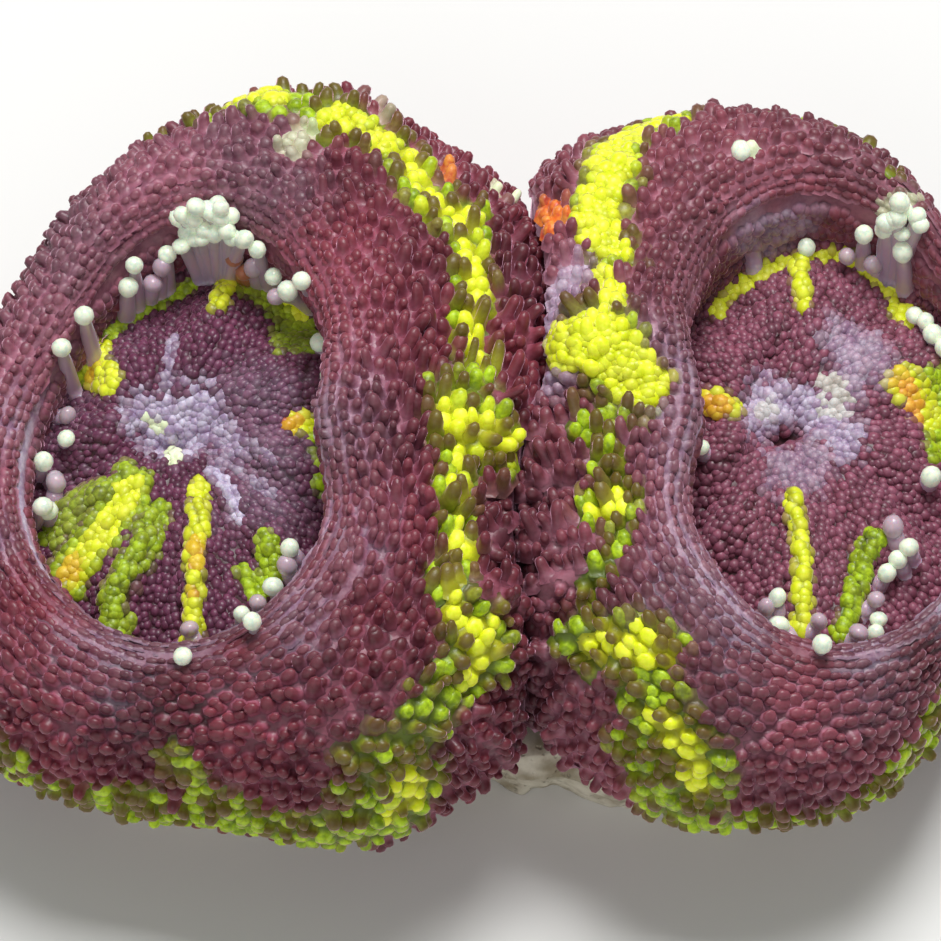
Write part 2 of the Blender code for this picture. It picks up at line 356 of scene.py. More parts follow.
@dataclass(frozen=True)
class PolypForm:
    """The skin of one polyp as a function of its turn in radians and its place across the rings. Its
    side is -1 to the west of the crease and 1 to the east, and lobes is how many its disc has."""

    seating: Seating
    side: int
    mouth: Ring
    pillow: Ring
    margin: Ring
    lip: Ring
    crest: Ring
    girth: Ring
    swellings: tuple[Swelling, ...]
    folds: tuple[Fold, ...]
    lobes: int
    seed: int

    @cached_property
    def noise(self) -> Lattice:
        """The polyp's own noise."""
        return Lattice(self.seed)

    def stated_ring(self, ring: Ring, turn: Array) -> Array:
        """A stated ring's points: its reach along each direction from its middle, at a height that
        tilts with the cosine and the sine of the direction.

        Args:
            ring: The ring.
            turn: n directions in radians.

        Returns:
            (n, 3) points.
        """
        east, north = np.cos(turn), np.sin(turn)
        reach = around(ring.reach, turn)
        height = ring.height + ring.rise_east * east + ring.rise_north * north
        unit = self.seating.unit
        x = self.seating.middle[0] + unit * (ring.shift[0] + reach * east)
        y = self.seating.middle[1] + unit * (ring.shift[1] + reach * north)
        return np.stack([x, y, self.seating.floor - SEAT_GAP + unit * height], axis=-1)

    def level_ring(self, ring: Array, middle: Array, share: float, height: float) -> Array:
        """A level ring whose points lie at a share of the way from a middle to another ring's."""
        spread = middle + share * (ring[:, :2] - middle)
        return np.column_stack([spread, np.full(len(ring), height)])

    def rings(self, turn: Array) -> Array:
        """Every key ring at the given turns. The shoulder and the tuck lie halfway round quarter
        ellipses that end upright on the girth.

        Args:
            turn: n angles in radians.

        Returns:
            (12, n, 3) points, in the order of Line.
        """
        middle = np.array(self.seating.middle)
        floor = self.seating.floor
        mouth, pillow, margin, lip, crest, girth = (
            self.stated_ring(ring, turn)
            for ring in (self.mouth, self.pillow, self.margin, self.lip, self.crest, self.girth)
        )
        hem = self.level_ring(girth, middle, HEM_SHARE, floor + HEM_RISE)
        slant = math.sqrt(0.5)
        rounded = []
        for end in (crest, hem):
            ring = end + slant * (girth - end)
            ring[:, 2] = girth[:, 2] + slant * (end[:, 2] - girth[:, 2])
            rounded.append(ring)
        throat_height = floor - SEAT_GAP + self.seating.unit * (self.mouth.height - THROAT_DEPTH)
        throat_middle = middle + self.seating.unit * np.array(self.mouth.shift)
        throat = self.level_ring(mouth, throat_middle, 0.0, throat_height)
        seat = self.level_ring(girth, middle, SEAT_SHARE, floor)
        base = self.level_ring(girth, middle, 0.0, floor)
        return np.stack(
            [throat, mouth, pillow, margin, lip, crest, rounded[0], girth, rounded[1], hem, seat, base]
        )

    def bare(self, turn: Array, across: Array) -> Array:
        """The smooth form without its relief: a smooth curve across the key rings at each turn. Past
        the throat and the base the curve runs on to the ring on the other side.

        Args:
            turn: n angles in radians.
            across: n places across the rings.

        Returns:
            (n, 3) points.
        """
        turns, which = np.unique(turn, return_inverse=True)
        rings, opposite = self.rings(turns), self.rings(turns + math.pi)
        lines = np.concatenate([opposite[Line.MOUTH][None], rings, opposite[Line.SEAT][None]])
        across = np.clip(across, Line.THROAT, Line.BASE)
        step = np.minimum(np.floor(across).astype(int), Line.SEAT)
        near = [lines[step + shift, which] for shift in range(4)]
        return smooth_curve(*near, (across - step)[:, None])

    @staticmethod
    def facing(shape: Callable[[Array, Array], Array], turn: Array, across: Array) -> Array:
        """Unit directions out of a skin: the cross product of its steps across and along.

        Args:
            shape: The skin as a function of turn and across.
            turn: n angles in radians.
            across: n places across the rings.

        Returns:
            (n, 3) unit directions.
        """
        along = shape(turn + FACING_TURN, across) - shape(turn - FACING_TURN, across)
        down = shape(turn, across + FACING_RINGS) - shape(turn, across - FACING_RINGS)
        return unit_rows(np.cross(down, along))

    def distances(self, start: float, end: float) -> Array:
        """Distances out over the bare skin between two lines, in rows of equal turn and columns of
        equal steps across.

        Args:
            start: The inner line.
            end: The outer line.

        Returns:
            The table, in mm.
        """
        across = np.linspace(start, end, ARC_STEPS)
        grid = self.bare(np.repeat(even_turns(ARC_TURNS), ARC_STEPS), np.tile(across, ARC_TURNS))
        grid = grid.reshape(ARC_TURNS, ARC_STEPS, 3)
        steps = np.linalg.norm(np.diff(grid, axis=1), axis=2)
        return np.concatenate([np.zeros((ARC_TURNS, 1)), np.cumsum(steps, axis=1)], axis=1)

    @cached_property
    def arc_table(self) -> Array:
        """Distances from the lip out to the hem."""
        return self.distances(Line.LIP, Line.HEM)

    def arc(self, turn: Array, across: Array) -> Array:
        """Distance from the lip out over the skin, read from the table by straight interpolation
        in both directions; it is 0 inside the lip.

        Args:
            turn: n angles in radians.
            across: n places across the rings.

        Returns:
            n distances, in mm.
        """
        place = (turn / (2 * math.pi) * ARC_TURNS) % ARC_TURNS
        column = (across - Line.LIP) / (Line.HEM - Line.LIP) * (ARC_STEPS - 1)
        column = np.clip(column, 0, ARC_STEPS - 1.001)
        row, step = np.floor(place).astype(int) % ARC_TURNS, np.floor(column).astype(int)
        after = (row + 1) % ARC_TURNS
        side, ahead = place - np.floor(place), column - step
        table = self.arc_table
        near = table[row, step] + ahead * (table[row, step + 1] - table[row, step])
        far = table[after, step] + ahead * (table[after, step + 1] - table[after, step])
        return near + side * (far - near)

    def route_points(self, route: Sequence[Place]) -> Array:
        """A route's points on the bare skin: a smooth curve through its places, in equal steps.

        Args:
            route: Places as (degrees, rings across).

        Returns:
            (m, 3) points.
        """
        places = np.array(route, float)
        if len(places) == 1:
            places = np.repeat(places, 2, axis=0)
        padded = np.concatenate([places[:1], places, places[-1:]])
        share = np.arange(ROUTE_STEPS)[:, None] / ROUTE_STEPS
        runs = [smooth_curve(*padded[i : i + 4], share) for i in range(len(places) - 1)]
        curve = np.concatenate([*runs, places[-1:]])
        return self.bare(np.radians(curve[:, 0]), curve[:, 1])

    def crease_x(self, y: Array) -> Array:
        """Where the crease lies across X: a smooth curve along Y through its offsets.

        Args:
            y: n places along Y, in mm.

        Returns:
            n places along X, in mm.
        """
        place = np.clip((y - CREASE_START) / CREASE_STEP, 0, len(CREASE_OFFSETS) - 1.001)
        step = np.floor(place).astype(int)
        offsets = np.pad(CREASE_OFFSETS, 1, mode="edge")
        return smooth_curve(*(offsets[step + shift] for shift in range(4)), place - step)

    def clearance(self, points: Array) -> Array:
        """How far points are on their own side of the crease."""
        return self.side * (points[:, 0] - self.crease_x(points[:, 1]))

    def pressed(self, points: Array) -> Array:
        """The points kept on their own side of the crease by a soft maximum, and above the floor.

        Args:
            points: (n, 3) places.

        Returns:
            (n, 3) places.
        """
        away = self.clearance(points) - CREASE_GAP / 2
        kept = CREASE_GAP / 2 + CREASE_SOFTNESS * np.logaddexp(0, away / CREASE_SOFTNESS)
        x = self.crease_x(points[:, 1]) + self.side * kept
        return np.column_stack([x, points[:, 1], np.maximum(points[:, 2], self.seating.floor)])

    def relief(self, turn: Array, across: Array, bare: Array) -> Array:
        """How far the skin stands out of its bare form. On the wall it is the swellings, lumps of
        noise, and the cosines that make fine ridges along the lip and furrows across the crease. On
        the disc it is radial lobes and crumpled skin. The stated folds lie over both.

        Args:
            turn: n angles in radians.
            across: n places across the rings.
            bare: Their points on the bare form.

        Returns:
            n heights.
        """
        wall = smooth_step(Line.LIP - 0.2, Line.CREST, across)
        wall *= smooth_step(Line.HEM, Line.TUCK, across)
        disc = smooth_step(Line.MOUTH - 0.5, Line.MOUTH + 0.6, across)
        disc *= smooth_step(Line.MARGIN + 0.3, Line.MARGIN - 0.5, across)
        lift = np.zeros(len(turn))
        for swelling in self.swellings:
            middle = np.array(self.seating.middle) + self.seating.unit * np.array(swelling.middle)
            far = np.linalg.norm(bare[:, :2] - middle, axis=1)
            lift += wall * swelling.height * hump(far, swelling.radius)
        for (height, grain), apart in ((LUMPS, 0.0), (BUMPS, 7.0)):
            lift += wall * height * self.noise(bare + apart, grain)
        height, pitch, reach = LIP_RIDGES
        arc = self.arc(turn, across)
        ridges = np.cos(2 * math.pi * arc / pitch + 2.2 * self.noise(bare, 1.6))
        outside = smooth_step(Line.LIP, Line.LIP + 0.15, across)
        lift += height * ridges * outside * hump(arc, reach)
        height, pitch, reach = FURROWS
        near_crease = hump(self.clearance(bare), reach) * wall * smooth_step(2.5, -1.5, bare[:, 1])
        along = bare[:, 1] - 0.25 * bare[:, 0] + 0.5 * self.noise(bare, 2.0)
        lift += height * near_crease * np.cos(2 * math.pi * along / pitch)
        height, grain = CRUMPLES
        radial = np.cos(self.lobes * turn + 1.2 * self.noise(bare, 3.5))
        outward = smooth_step(Line.MOUTH, Line.PILLOW + 0.4, across)
        lift += disc * (LOBE_HEIGHT * radial * outward + height * self.noise(bare, grain))
        for fold in self.folds:
            far = distance_to_path(bare, self.route_points(fold.route))
            lift += fold.height * hump(far, fold.width)
        return lift

    def skin(self, turn: Array, across: Array) -> Array:
        """The finished skin: the bare form, lifted by its relief and pressed against the crease.

        Args:
            turn: n angles in radians.
            across: n places across the rings.

        Returns:
            (n, 3) points.
        """
        bare = self.bare(turn, across)
        lift = self.relief(turn, across, bare)
        return self.pressed(bare + lift[:, None] * self.facing(self.bare, turn, across))


@dataclass(frozen=True)
class Places:
    """Some places on a polyp: their turns in radians, where they lie across the rings, and what the
    flesh is like there. Each value is worked out once, when it is first asked for."""

    form: PolypForm
    turn: Array
    across: Array

    def where(self, kept: Array) -> "Places":
        """The places that a mask keeps."""
        return Places(self.form, self.turn[kept], self.across[kept])

    @cached_property
    def bare(self) -> Array:
        """Their points on the bare form."""
        return self.form.bare(self.turn, self.across)

    @cached_property
    def points(self) -> Array:
        """Their points on the finished skin."""
        return self.form.skin(self.turn, self.across)

    @cached_property
    def normals(self) -> Array:
        """The unit directions out of the finished skin."""
        return self.form.facing(self.form.skin, self.turn, self.across)

    @cached_property
    def arc(self) -> Array:
        """Their distances from the lip out over the skin."""
        return self.form.arc(self.turn, self.across)

    @cached_property
    def room(self) -> Array:
        """How far they are on their own side of the crease."""
        return self.form.clearance(self.bare)

    @cached_property
    def far_side(self) -> Array:
        """How much they belong to the far side, which is the north, from 0 to 1."""
        return smooth_step(*FAR_SPAN, np.sin(self.turn))

    @cached_property
    def front_lip(self) -> Array:
        """How much they belong to the front lip, whose low beads stand in furrows of painted shade."""
        return smooth_step(*FRONT_SPAN, np.sin(self.turn)) * hump(self.arc, FRONT_REACH)

    @cached_property
    def painted_crease_shade(self) -> Array:
        """The share of its tone the flesh keeps under painted shade, least in the crease's near half."""
        near = smooth_step(*CREASE_SPAN, self.bare[:, 1])
        return 1 - CREASE_SHADE_DEPTH * near * smooth_step(CREASE_REACH, 0.0, self.room)

    @cached_property
    def lip_haze(self) -> Array:
        """The lilac haze along the lip: full on the lip's edge, thin and patchy beside it, and
        wanting on the far side.

        Returns:
            Shares from 0 to 1.
        """
        edge = EDGE_HAZE[0] * hump(self.across - Line.LIP - 0.03, EDGE_HAZE[1])
        band = hump(self.arc, BAND_HAZE[1]) * smooth_step(Line.LIP - 0.6, Line.LIP, self.across)
        patches = np.clip(0.5 + 0.8 * self.form.noise(self.bare, 2.4), 0, 1)
        return (1 - self.far_side) * np.maximum(edge, BAND_HAZE[0] * band * patches)

    @cached_property
    def ground_tip(self) -> Array:
        """Where the skin's own flesh stands on the scale from the painted shade of the hollows, 0, past
        the pale net between the papillae to their dark tips, 1. It is near the net inside the lip and on
        the far side, lower farther out, and down in the painted shade of the hollows on the front lip.

        Returns:
            Places on the scale.
        """
        fade = np.exp(-self.arc / 4.0) * smooth_step(Line.MARGIN - 0.4, Line.LIP - 0.6, self.across)
        inner = smooth_step(Line.MARGIN + 0.1, Line.MARGIN + 0.5, self.across)
        inner *= smooth_step(Line.CREST + 0.1, Line.CREST - 0.3, self.across)
        net = (NET + NET_BY_LIP * fade) * (1 - FURROW_SHADE * self.front_lip) + NET_INSIDE * inner
        net = net + NET_FAR * self.far_side + NET_NOISE * self.form.noise(self.bare, 1.4)
        return np.clip(net, 0, NET_MOST)


# ---- Meshes ----


def grid_quads(rows: int, columns: int) -> Array:
    """The cells of a grid of points whose rows are closed, each wound from a point down its column
    and then along its row.

    Args:
        rows: How many rows the grid has.
        columns: How many points a row has.

    Returns:
        (n, 4) corner numbers, where a point's number is its row times columns plus its column.
    """
    row, column = np.meshgrid(np.arange(rows - 1), np.arange(columns))
    row, column = row.T.ravel(), column.T.ravel()
    after = (column + 1) % columns
    near, far = row * columns, (row + 1) * columns
    return np.stack([near + column, far + column, far + after, near + after], axis=1)


def fan(start: int, columns: int, pole: int) -> Array:
    """The triangles from a closed row of points on to a pole, wound as the cells of a grid are.

    Args:
        start: The number of the row's first point.
        columns: How many points the row has.
        pole: The pole's number.

    Returns:
        (n, 3) corner numbers.
    """
    row = start + np.arange(columns)
    return np.stack([row, np.full(columns, pole), np.roll(row, -1)], axis=1)


def place_in_scene(name: str, data: bpy.types.ID) -> bpy.types.Object:
    """Links some data to the scene.

    Args:
        name: The object's name.
        data: Its mesh, lamp or camera.

    Returns:
        The object, at the origin.
    """
    made = bpy.data.objects.new(name, data)
    bpy.context.scene.collection.objects.link(made)
    return made


@dataclass
class Skin:
    """A closed mesh of quads and triangles, in millimetres, with values kept on its points, and the
    directions that some of its points are shaded by, where the others have zeros."""

    points: Array
    quads: Array
    triangles: Array
    values: dict[str, Array]
    normals: Optional[Array] = None

    def build(self, name: str, material: bpy.types.Material) -> bpy.types.Object:
        """Writes the mesh in metres and links it as an object shaded smooth.

        Args:
            name: The piece's name.
            material: Its one material.

        Returns:
            The object, at the origin.
        """
        mesh = bpy.data.meshes.new(name)
        faces = [*self.quads.tolist(), *self.triangles.tolist()]
        mesh.from_pydata((self.points * MM).tolist(), [], faces)
        for key, numbers in self.values.items():
            layer = mesh.attributes.new(key, "FLOAT", "POINT")
            layer.data.foreach_set("value", np.ascontiguousarray(numbers, np.float32))
        mesh.shade_smooth()
        if self.normals is not None:
            mesh.normals_split_custom_set_from_vertices(self.normals.tolist())
        mesh.materials.append(material)
        LOG.info("%s: %d points, %d faces", name, len(mesh.vertices), len(mesh.polygons))
        return place_in_scene(name, mesh)


@dataclass
class Crowd:
    """Many small turned bodies that stand on a surface.

    Each body follows one profile. A row of it is (share of the length, share of the width up the
    axis, radius as a share of the width), and its last row is the pole. On a body wider than it is
    long, the length counts in place of the width up the axis. The body leans along its sway in
    proportion to the square of its height, and its first row is shaded as the ground is.
    """

    roots: Array
    ground: Array
    axes: Array
    sway: Array
    grain: Array
    lengths: Array
    widths: Array
    stretch: Array
    profile: tuple[tuple[float, float, float], ...]
    segments: int

    def frames(self) -> tuple[Array, Array, Array]:
        """Each body's axis and two unit directions square to it, the first one along its grain.

        Returns:
            Three tables of (n, 3) directions.
        """
        axes = unit_rows(self.axes)
        first = unit_rows(self.grain - (self.grain * axes).sum(axis=1, keepdims=True) * axes)
        return axes, first, np.cross(axes, first)

    def skin(self, values: dict[str, Array]) -> Skin:
        """All bodies as one mesh: a point is the root, plus the axis by the row's height, plus the
        sway by the square of the height's share, plus the radius turned round the axis.

        Args:
            values: What each body, or each (body, row) pair, carries to its points.

        Returns:
            The joined skin.
        """
        axes, first, second = self.frames()
        profile = np.array(self.profile)
        least = np.minimum(self.widths, self.lengths)
        height = profile[:, 0] * self.lengths[:, None] + profile[:, 1] * least[:, None]
        share = np.clip(height / self.lengths[:, None], 0, None)
        spine = self.roots[:, None] + height[..., None] * axes[:, None]
        spine = spine + (share**2)[..., None] * self.sway[:, None]
        radius = profile[:-1, 2] * self.widths[:, None]
        turn = even_turns(self.segments)
        spoke = (
            np.cos(turn)[:, None] * (first * self.stretch[:, None])[:, None]
            + np.sin(turn)[:, None] * second[:, None]
        )
        rings = spine[:, :-1, None] + radius[..., None, None] * spoke[:, None]
        count, rows = rings.shape[:2]
        points = np.concatenate([rings.reshape(count, -1, 3), spine[:, -1:]], axis=1)
        body = rows * self.segments + 1
        start = np.arange(count) * body
        quads = grid_quads(rows, self.segments)[:, ::-1]
        cap = fan((rows - 1) * self.segments, self.segments, body - 1)[:, ::-1]
        normals = np.zeros((count, body, 3))
        normals[:, : self.segments] = self.ground[:, None]
        carried = {}
        for key, numbers in values.items():
            table = np.broadcast_to(numbers.reshape(count, -1), (count, rows + 1))
            ring_values = np.repeat(table[:, :-1], self.segments, axis=1)
            carried[key] = np.concatenate([ring_values, table[:, -1:]], axis=1).ravel()
        return Skin(
            points.reshape(-1, 3),
            (start[:, None, None] + quads).reshape(-1, 4),
            (start[:, None, None] + cap).reshape(-1, 3),
            carried,
            normals.reshape(-1, 3),
        )


# ---- Where the pigments lie ----


# Where a stroke ends and where it is full, in widths from its route, for the haze and for the other
# pigments, and how far from its route it is looked for.
HAZE_FALLOFF, FALLOFF = (1.5, 0.4), (1.2, 0.75)
STROKE_REACH = 2.2


@dataclass(frozen=True)
class Pigmentation:
    """The pigments of one polyp: its strokes, laid over its form."""

    form: PolypForm
    strokes: tuple[Stroke, ...]

    def masks(self, bare: Array, loose: Optional[Array] = None) -> Masks:
        """How much of each pigment lies at some places. A stroke is full along its route and falls
        off by a smooth step about its width, a long one for the pale haze. Noise and each place's
        own chance make it ragged. Where strokes of one pigment cross, the stronger counts.

        Args:
            bare: (n, 3) points on the bare form.
            loose: Each point's own chance, from -1 to 1, for bodies that take a pigment whole.

        Returns:
            n shares from 0 to 1 for each pigment.
        """
        masks = {pigment: np.zeros(len(bare)) for pigment in Pigment}
        rough = 0.6 * self.form.noise(bare + 3.0, 1.3) + 0.5 * self.form.noise(bare - 5.0, 0.55)
        if loose is not None:
            rough = 0.7 * rough + 0.5 * loose
        for stroke in self.strokes:
            route = self.form.route_points(stroke.route)
            margin = STROKE_REACH * stroke.width
            close = np.all(
                (bare > route.min(axis=0) - margin) & (bare < route.max(axis=0) + margin), axis=1
            )
            if not close.any():
                continue
            far = distance_to_path(bare[close], route) / stroke.width
            far = far + stroke.raggedness * rough[close]
            falloff = HAZE_FALLOFF if stroke.pigment is Pigment.PALE else FALLOFF
            share = stroke.strength * smooth_step(*falloff, far)
            masks[stroke.pigment][close] = np.maximum(masks[stroke.pigment][close], share)
        return masks


# ---- Finishes ----


# The numbers of a Mix node's share and two colours, and of the colour that it gives.
MIX_INPUTS, MIX_OUTPUT = (0, 6, 7), 2


class ShaderTree:
    """Short ways to add nodes to one node tree."""

    def __init__(self, tree: bpy.types.NodeTree) -> None:
        """Keeps the tree."""
        self.tree = tree

    def add(self, kind: str, inputs: Optional[dict] = None, **settings: object) -> bpy.types.Node:
        """Adds a node.

        Args:
            kind: The node's Blender type.
            inputs: Values or sockets for its inputs, by name or number.
            settings: Values for its properties.

        Returns:
            The node.
        """
        node = self.tree.nodes.new(kind)
        for key, value in settings.items():
            setattr(node, key, value)
        self.fill(node, inputs or {})
        return node

    def fill(self, node: bpy.types.Node, inputs: dict) -> None:
        """Links sockets to a node's inputs, and sets values on them.

        Args:
            node: The node.
            inputs: Values or sockets for its inputs, by name or number.
        """
        for key, value in inputs.items():
            if isinstance(value, bpy.types.NodeSocket):
                self.tree.links.new(value, node.inputs[key])
            else:
                node.inputs[key].default_value = value

    def value(self, name: str) -> bpy.types.NodeSocket:
        """The value that a mesh keeps on its points under a name."""
        return self.add("ShaderNodeAttribute", attribute_name=name).outputs["Fac"]

    def place(self) -> bpy.types.NodeSocket:
        """The place on the object, in its own coordinates."""
        return self.add("ShaderNodeTexCoord").outputs["Object"]

    def noise(self, scale: object, detail: float = 2.0) -> bpy.types.NodeSocket:
        """Noise at a place on the object, with its scale, a number or a socket, in features a metre."""
        inputs = {"Vector": self.place(), "Scale": scale, "Detail": detail}
        return self.add("ShaderNodeTexNoise", inputs).outputs["Fac"]

    def ramp(
        self,
        value: bpy.types.NodeSocket,
        span: tuple[float, float],
        ends: tuple[float, float] = (0.0, 1.0),
    ) -> bpy.types.NodeSocket:
        """A value moved by a smooth step from one end to the other as its source crosses a span.

        Args:
            value: The source.
            span: Where the step begins and where it is complete.
            ends: The values there.

        Returns:
            The moved value.
        """
        inputs = {"Value": value, "From Min": span[0], "From Max": span[1]}
        inputs.update({"To Min": ends[0], "To Max": ends[1]})
        node = self.add("ShaderNodeMapRange", inputs, interpolation_type="SMOOTHSTEP")
        return node.outputs["Result"]

    def math(self, operation: str, *terms: object) -> bpy.types.NodeSocket:
        """One arithmetic step between sockets or numbers."""
        return self.add("ShaderNodeMath", dict(enumerate(terms)), operation=operation).outputs[0]

    def blend(
        self, share: object, under: object, over: object, way: str = "MIX"
    ) -> bpy.types.NodeSocket:
        """One colour over another by a share."""
        inputs = dict(zip(MIX_INPUTS, (share, under, over)))
        return self.add("ShaderNodeMix", inputs, data_type="RGBA", blend_type=way).outputs[MIX_OUTPUT]


@dataclass(frozen=True)
class GroupSocket:
    """A named socket of a shader node group: its kind, and its value where it is an input."""

    name: str
    kind: str
    default: object = None


def shader_group(
    name: str, inputs: Sequence[GroupSocket], outputs: Sequence[GroupSocket]
) -> tuple[ShaderTree, bpy.types.Node, bpy.types.Node]:
    """Starts a shader node group with named sockets.

    Args:
        name: The group's name.
        inputs: Its inputs.
        outputs: Its outputs.

    Returns:
        Its tree, its input node and its output node.
    """
    group = bpy.data.node_groups.new(name, "ShaderNodeTree")
    for direction, sockets in (("INPUT", inputs), ("OUTPUT", outputs)):
        for socket in sockets:
            made = group.interface.new_socket(socket.name, in_out=direction, socket_type=socket.kind)
            if socket.default is not None:
                made.default_value = socket.default
    tree = ShaderTree(group)
    return tree, tree.add("NodeGroupInput"), tree.add("NodeGroupOutput")


@dataclass(frozen=True)
class Tones:
    """A pigment's deep and light tones, and where that is another one, its painted shade in the hollows.
    """

    deep: Colour
    light: Colour
    hollow_shade: Optional[Colour] = None


FLOAT, COLOUR = "NodeSocketFloat", "NodeSocketColor"
# The coarse grain's fineness as a share of the fine grain's, and its share of the mottle.
COARSE_SCALE, COARSE_SHARE = 0.3, 0.6
BLACK: Colour = (0.0, 0.0, 0.0, 1.0)
OLIVE = srgb(96, 72, 28)
# The third colour of leaf and lemon is painted shade, laid in their hollows.
PIGMENT_TONES = {
    Pigment.PALE: Tones(srgb(170, 148, 184), srgb(226, 218, 238)),
    Pigment.LEAF: Tones(srgb(116, 142, 6), srgb(186, 218, 30), srgb(76, 92, 10)),
    Pigment.LEMON: Tones(srgb(222, 234, 14), srgb(246, 252, 66), srgb(150, 152, 6)),
    Pigment.EMBER: Tones(srgb(206, 74, 40), srgb(242, 158, 60)),
    Pigment.MILK: Tones(srgb(218, 228, 182), srgb(240, 250, 214)),
}


class FleshEffects:
    """The node groups that every flesh finish shares, each built once."""

    def __init__(self) -> None:
        """Builds the groups."""
        self.pigments = self.build_pigments()
        self.grain = self.build_grain()

    def build_pigments(self) -> bpy.types.NodeTree:
        """Pigments over the flesh: lilac haze, leaf green, lemon, ember and milk in that order, each
        mottled between its deep and its light tone. Leaf and lemon take painted shade in the hollows,
        where the tip is 0, and turn olive by their share of it. The painted glow is the colour of the
        fluorescent pigments alone, which are all but the haze: an emission that lights them though they
        are no lamp.

        Returns:
            The group.
        """
        tree, given, result = shader_group(
            "acan_pigments",
            [
                GroupSocket("Flesh", COLOUR, (0.2, 0.05, 0.08, 1.0)),
                GroupSocket("Mottle", FLOAT, 0.5),
                GroupSocket("Olive", FLOAT, 0.0),
                GroupSocket("Tip", FLOAT, 1.0),
            ],
            [GroupSocket("Color", COLOUR), GroupSocket("Painted Glow", COLOUR)],
        )
        mottle, colour = given.outputs["Mottle"], given.outputs["Flesh"]
        clear_of_hollow_shade = tree.ramp(given.outputs["Tip"], (0.15, 0.9))
        painted_glow: object = BLACK
        for pigment, tones in PIGMENT_TONES.items():
            share = tree.value(pigment.value)
            tone = tree.blend(mottle, tones.deep, tones.light)
            if tones.hollow_shade:
                tone = tree.blend(clear_of_hollow_shade, tones.hollow_shade, tone)
                tone = tree.blend(given.outputs["Olive"], tone, OLIVE)
            colour = tree.blend(share, colour, tone)
            painted_glow = tree.blend(share, painted_glow, BLACK if pigment is Pigment.PALE else tone)
        tree.fill(result, {"Color": colour, "Painted Glow": painted_glow})
        return tree.tree

    def build_grain(self) -> bpy.types.NodeTree:
        """Fine wet grain: two scales of noise, added for the mottle, and the fine one for the height.

        Returns:
            The group.
        """
        tree, given, result = shader_group(
            "acan_grain",
            [GroupSocket("Fineness", FLOAT, 5000.0)],
            [GroupSocket("Mottle", FLOAT), GroupSocket("Height", FLOAT)],
        )
        fineness = given.outputs["Fineness"]
        coarse = tree.noise(tree.math("MULTIPLY", fineness, COARSE_SCALE), 3.0)
        fine = tree.noise(fineness)
        fine_part = tree.math("MULTIPLY", fine, 1 - COARSE_SHARE)
        mottle = tree.math("MULTIPLY_ADD", coarse, COARSE_SHARE, fine_part)
        tree.fill(result, {"Mottle": tree.ramp(mottle, (0.34, 0.66)), "Height": fine})
        return tree.tree


def start_material(name: str) -> tuple[bpy.types.Material, ShaderTree, bpy.types.Node]:
    """Starts a material.

    Args:
        name: Its name.

    Returns:
        The material, its tree and its one Principled node.
    """
    material = bpy.data.materials.new(name)
    material.use_nodes = True
    return material, ShaderTree(material.node_tree), material.node_tree.nodes["Principled BSDF"]


@dataclass(frozen=True)
class FleshFinish:
    """Wet coral flesh: its painted shade for the hollows, its colours on the net between its papillae
    and on their tips, how far its grain stands up in mm and how fine it is, where on the scale from
    the hollows to the tips the net and the tips take over, the slope and the start of the lines by
    which a body's tone and the mottle lighten it, and the ends of its roughness."""

    name: str
    hollow_shade: Colour
    net: Colour
    tip: Colour
    grain_height: float
    fineness: float
    net_span: tuple[float, float] = (0.0, 0.4)
    tip_span: tuple[float, float] = (0.42, 0.9)
    tone_line: tuple[float, float] = (0.6, 0.62)
    speck_line: tuple[float, float] = (0.3, 0.85)
    roughness: tuple[float, float] = (0.40, 0.55)

    def material(self, effects: FleshEffects) -> bpy.types.Material:
        """Builds the finish. The flesh runs from the painted shade of the hollows past the net's colour
        to the tip's; each body's tone shifts it; the pigments lie over that.

        Args:
            effects: The shared node groups.

        Returns:
            The material.
        """
        material, tree, shader = start_material(self.name)
        grain = tree.add("ShaderNodeGroup", {"Fineness": self.fineness}, node_tree=effects.grain)
        tip, tone = tree.value("tip"), tree.value("tone")
        flesh = tree.blend(tree.ramp(tip, self.net_span), self.hollow_shade, self.net)
        flesh = tree.blend(tree.ramp(tip, self.tip_span), flesh, self.tip)
        shade = tree.math("MULTIPLY_ADD", tone, *self.tone_line)
        speck = tree.math("MULTIPLY_ADD", grain.outputs["Mottle"], *self.speck_line)
        level = tree.math("MULTIPLY", shade, speck)
        grey = tree.add("ShaderNodeCombineColor", {"Red": level, "Green": level, "Blue": level})
        flesh = tree.blend(1.0, flesh, grey.outputs["Color"], "MULTIPLY")
        given = {
            "Flesh": flesh,
            "Mottle": grain.outputs["Mottle"],
            "Olive": tree.value("olive"),
            "Tip": tip,
        }
        pigments = tree.add("ShaderNodeGroup", given, node_tree=effects.pigments)
        raised = {"Height": grain.outputs["Height"], "Strength": 1.0, "Distance": self.grain_height * MM}
        inputs = {
            "Base Color": pigments.outputs["Color"],
            # The fluorescent pigments' painted glow: an emission that lights them though they are no
            # lamp.
            "Emission Color": pigments.outputs["Painted Glow"],
            "Normal": tree.add("ShaderNodeBump", raised).outputs["Normal"],
            "Roughness": tree.ramp(grain.outputs["Mottle"], (0.0, 1.0), self.roughness),
            "Emission Strength": 0.12,
            "Subsurface Weight": 0.16,
            "Subsurface Radius": (1.0, 0.45, 0.35),
            "Subsurface Scale": 0.35 * MM,
            "Sheen Weight": 1.0,
            "Sheen Roughness": 0.3,
            "Sheen Tint": srgb(240, 184, 210),
            "Coat Weight": 0.15,
            "Coat Roughness": 0.25,
            "Specular IOR Level": 0.4,
        }
        tree.fill(shader, inputs)
        return material


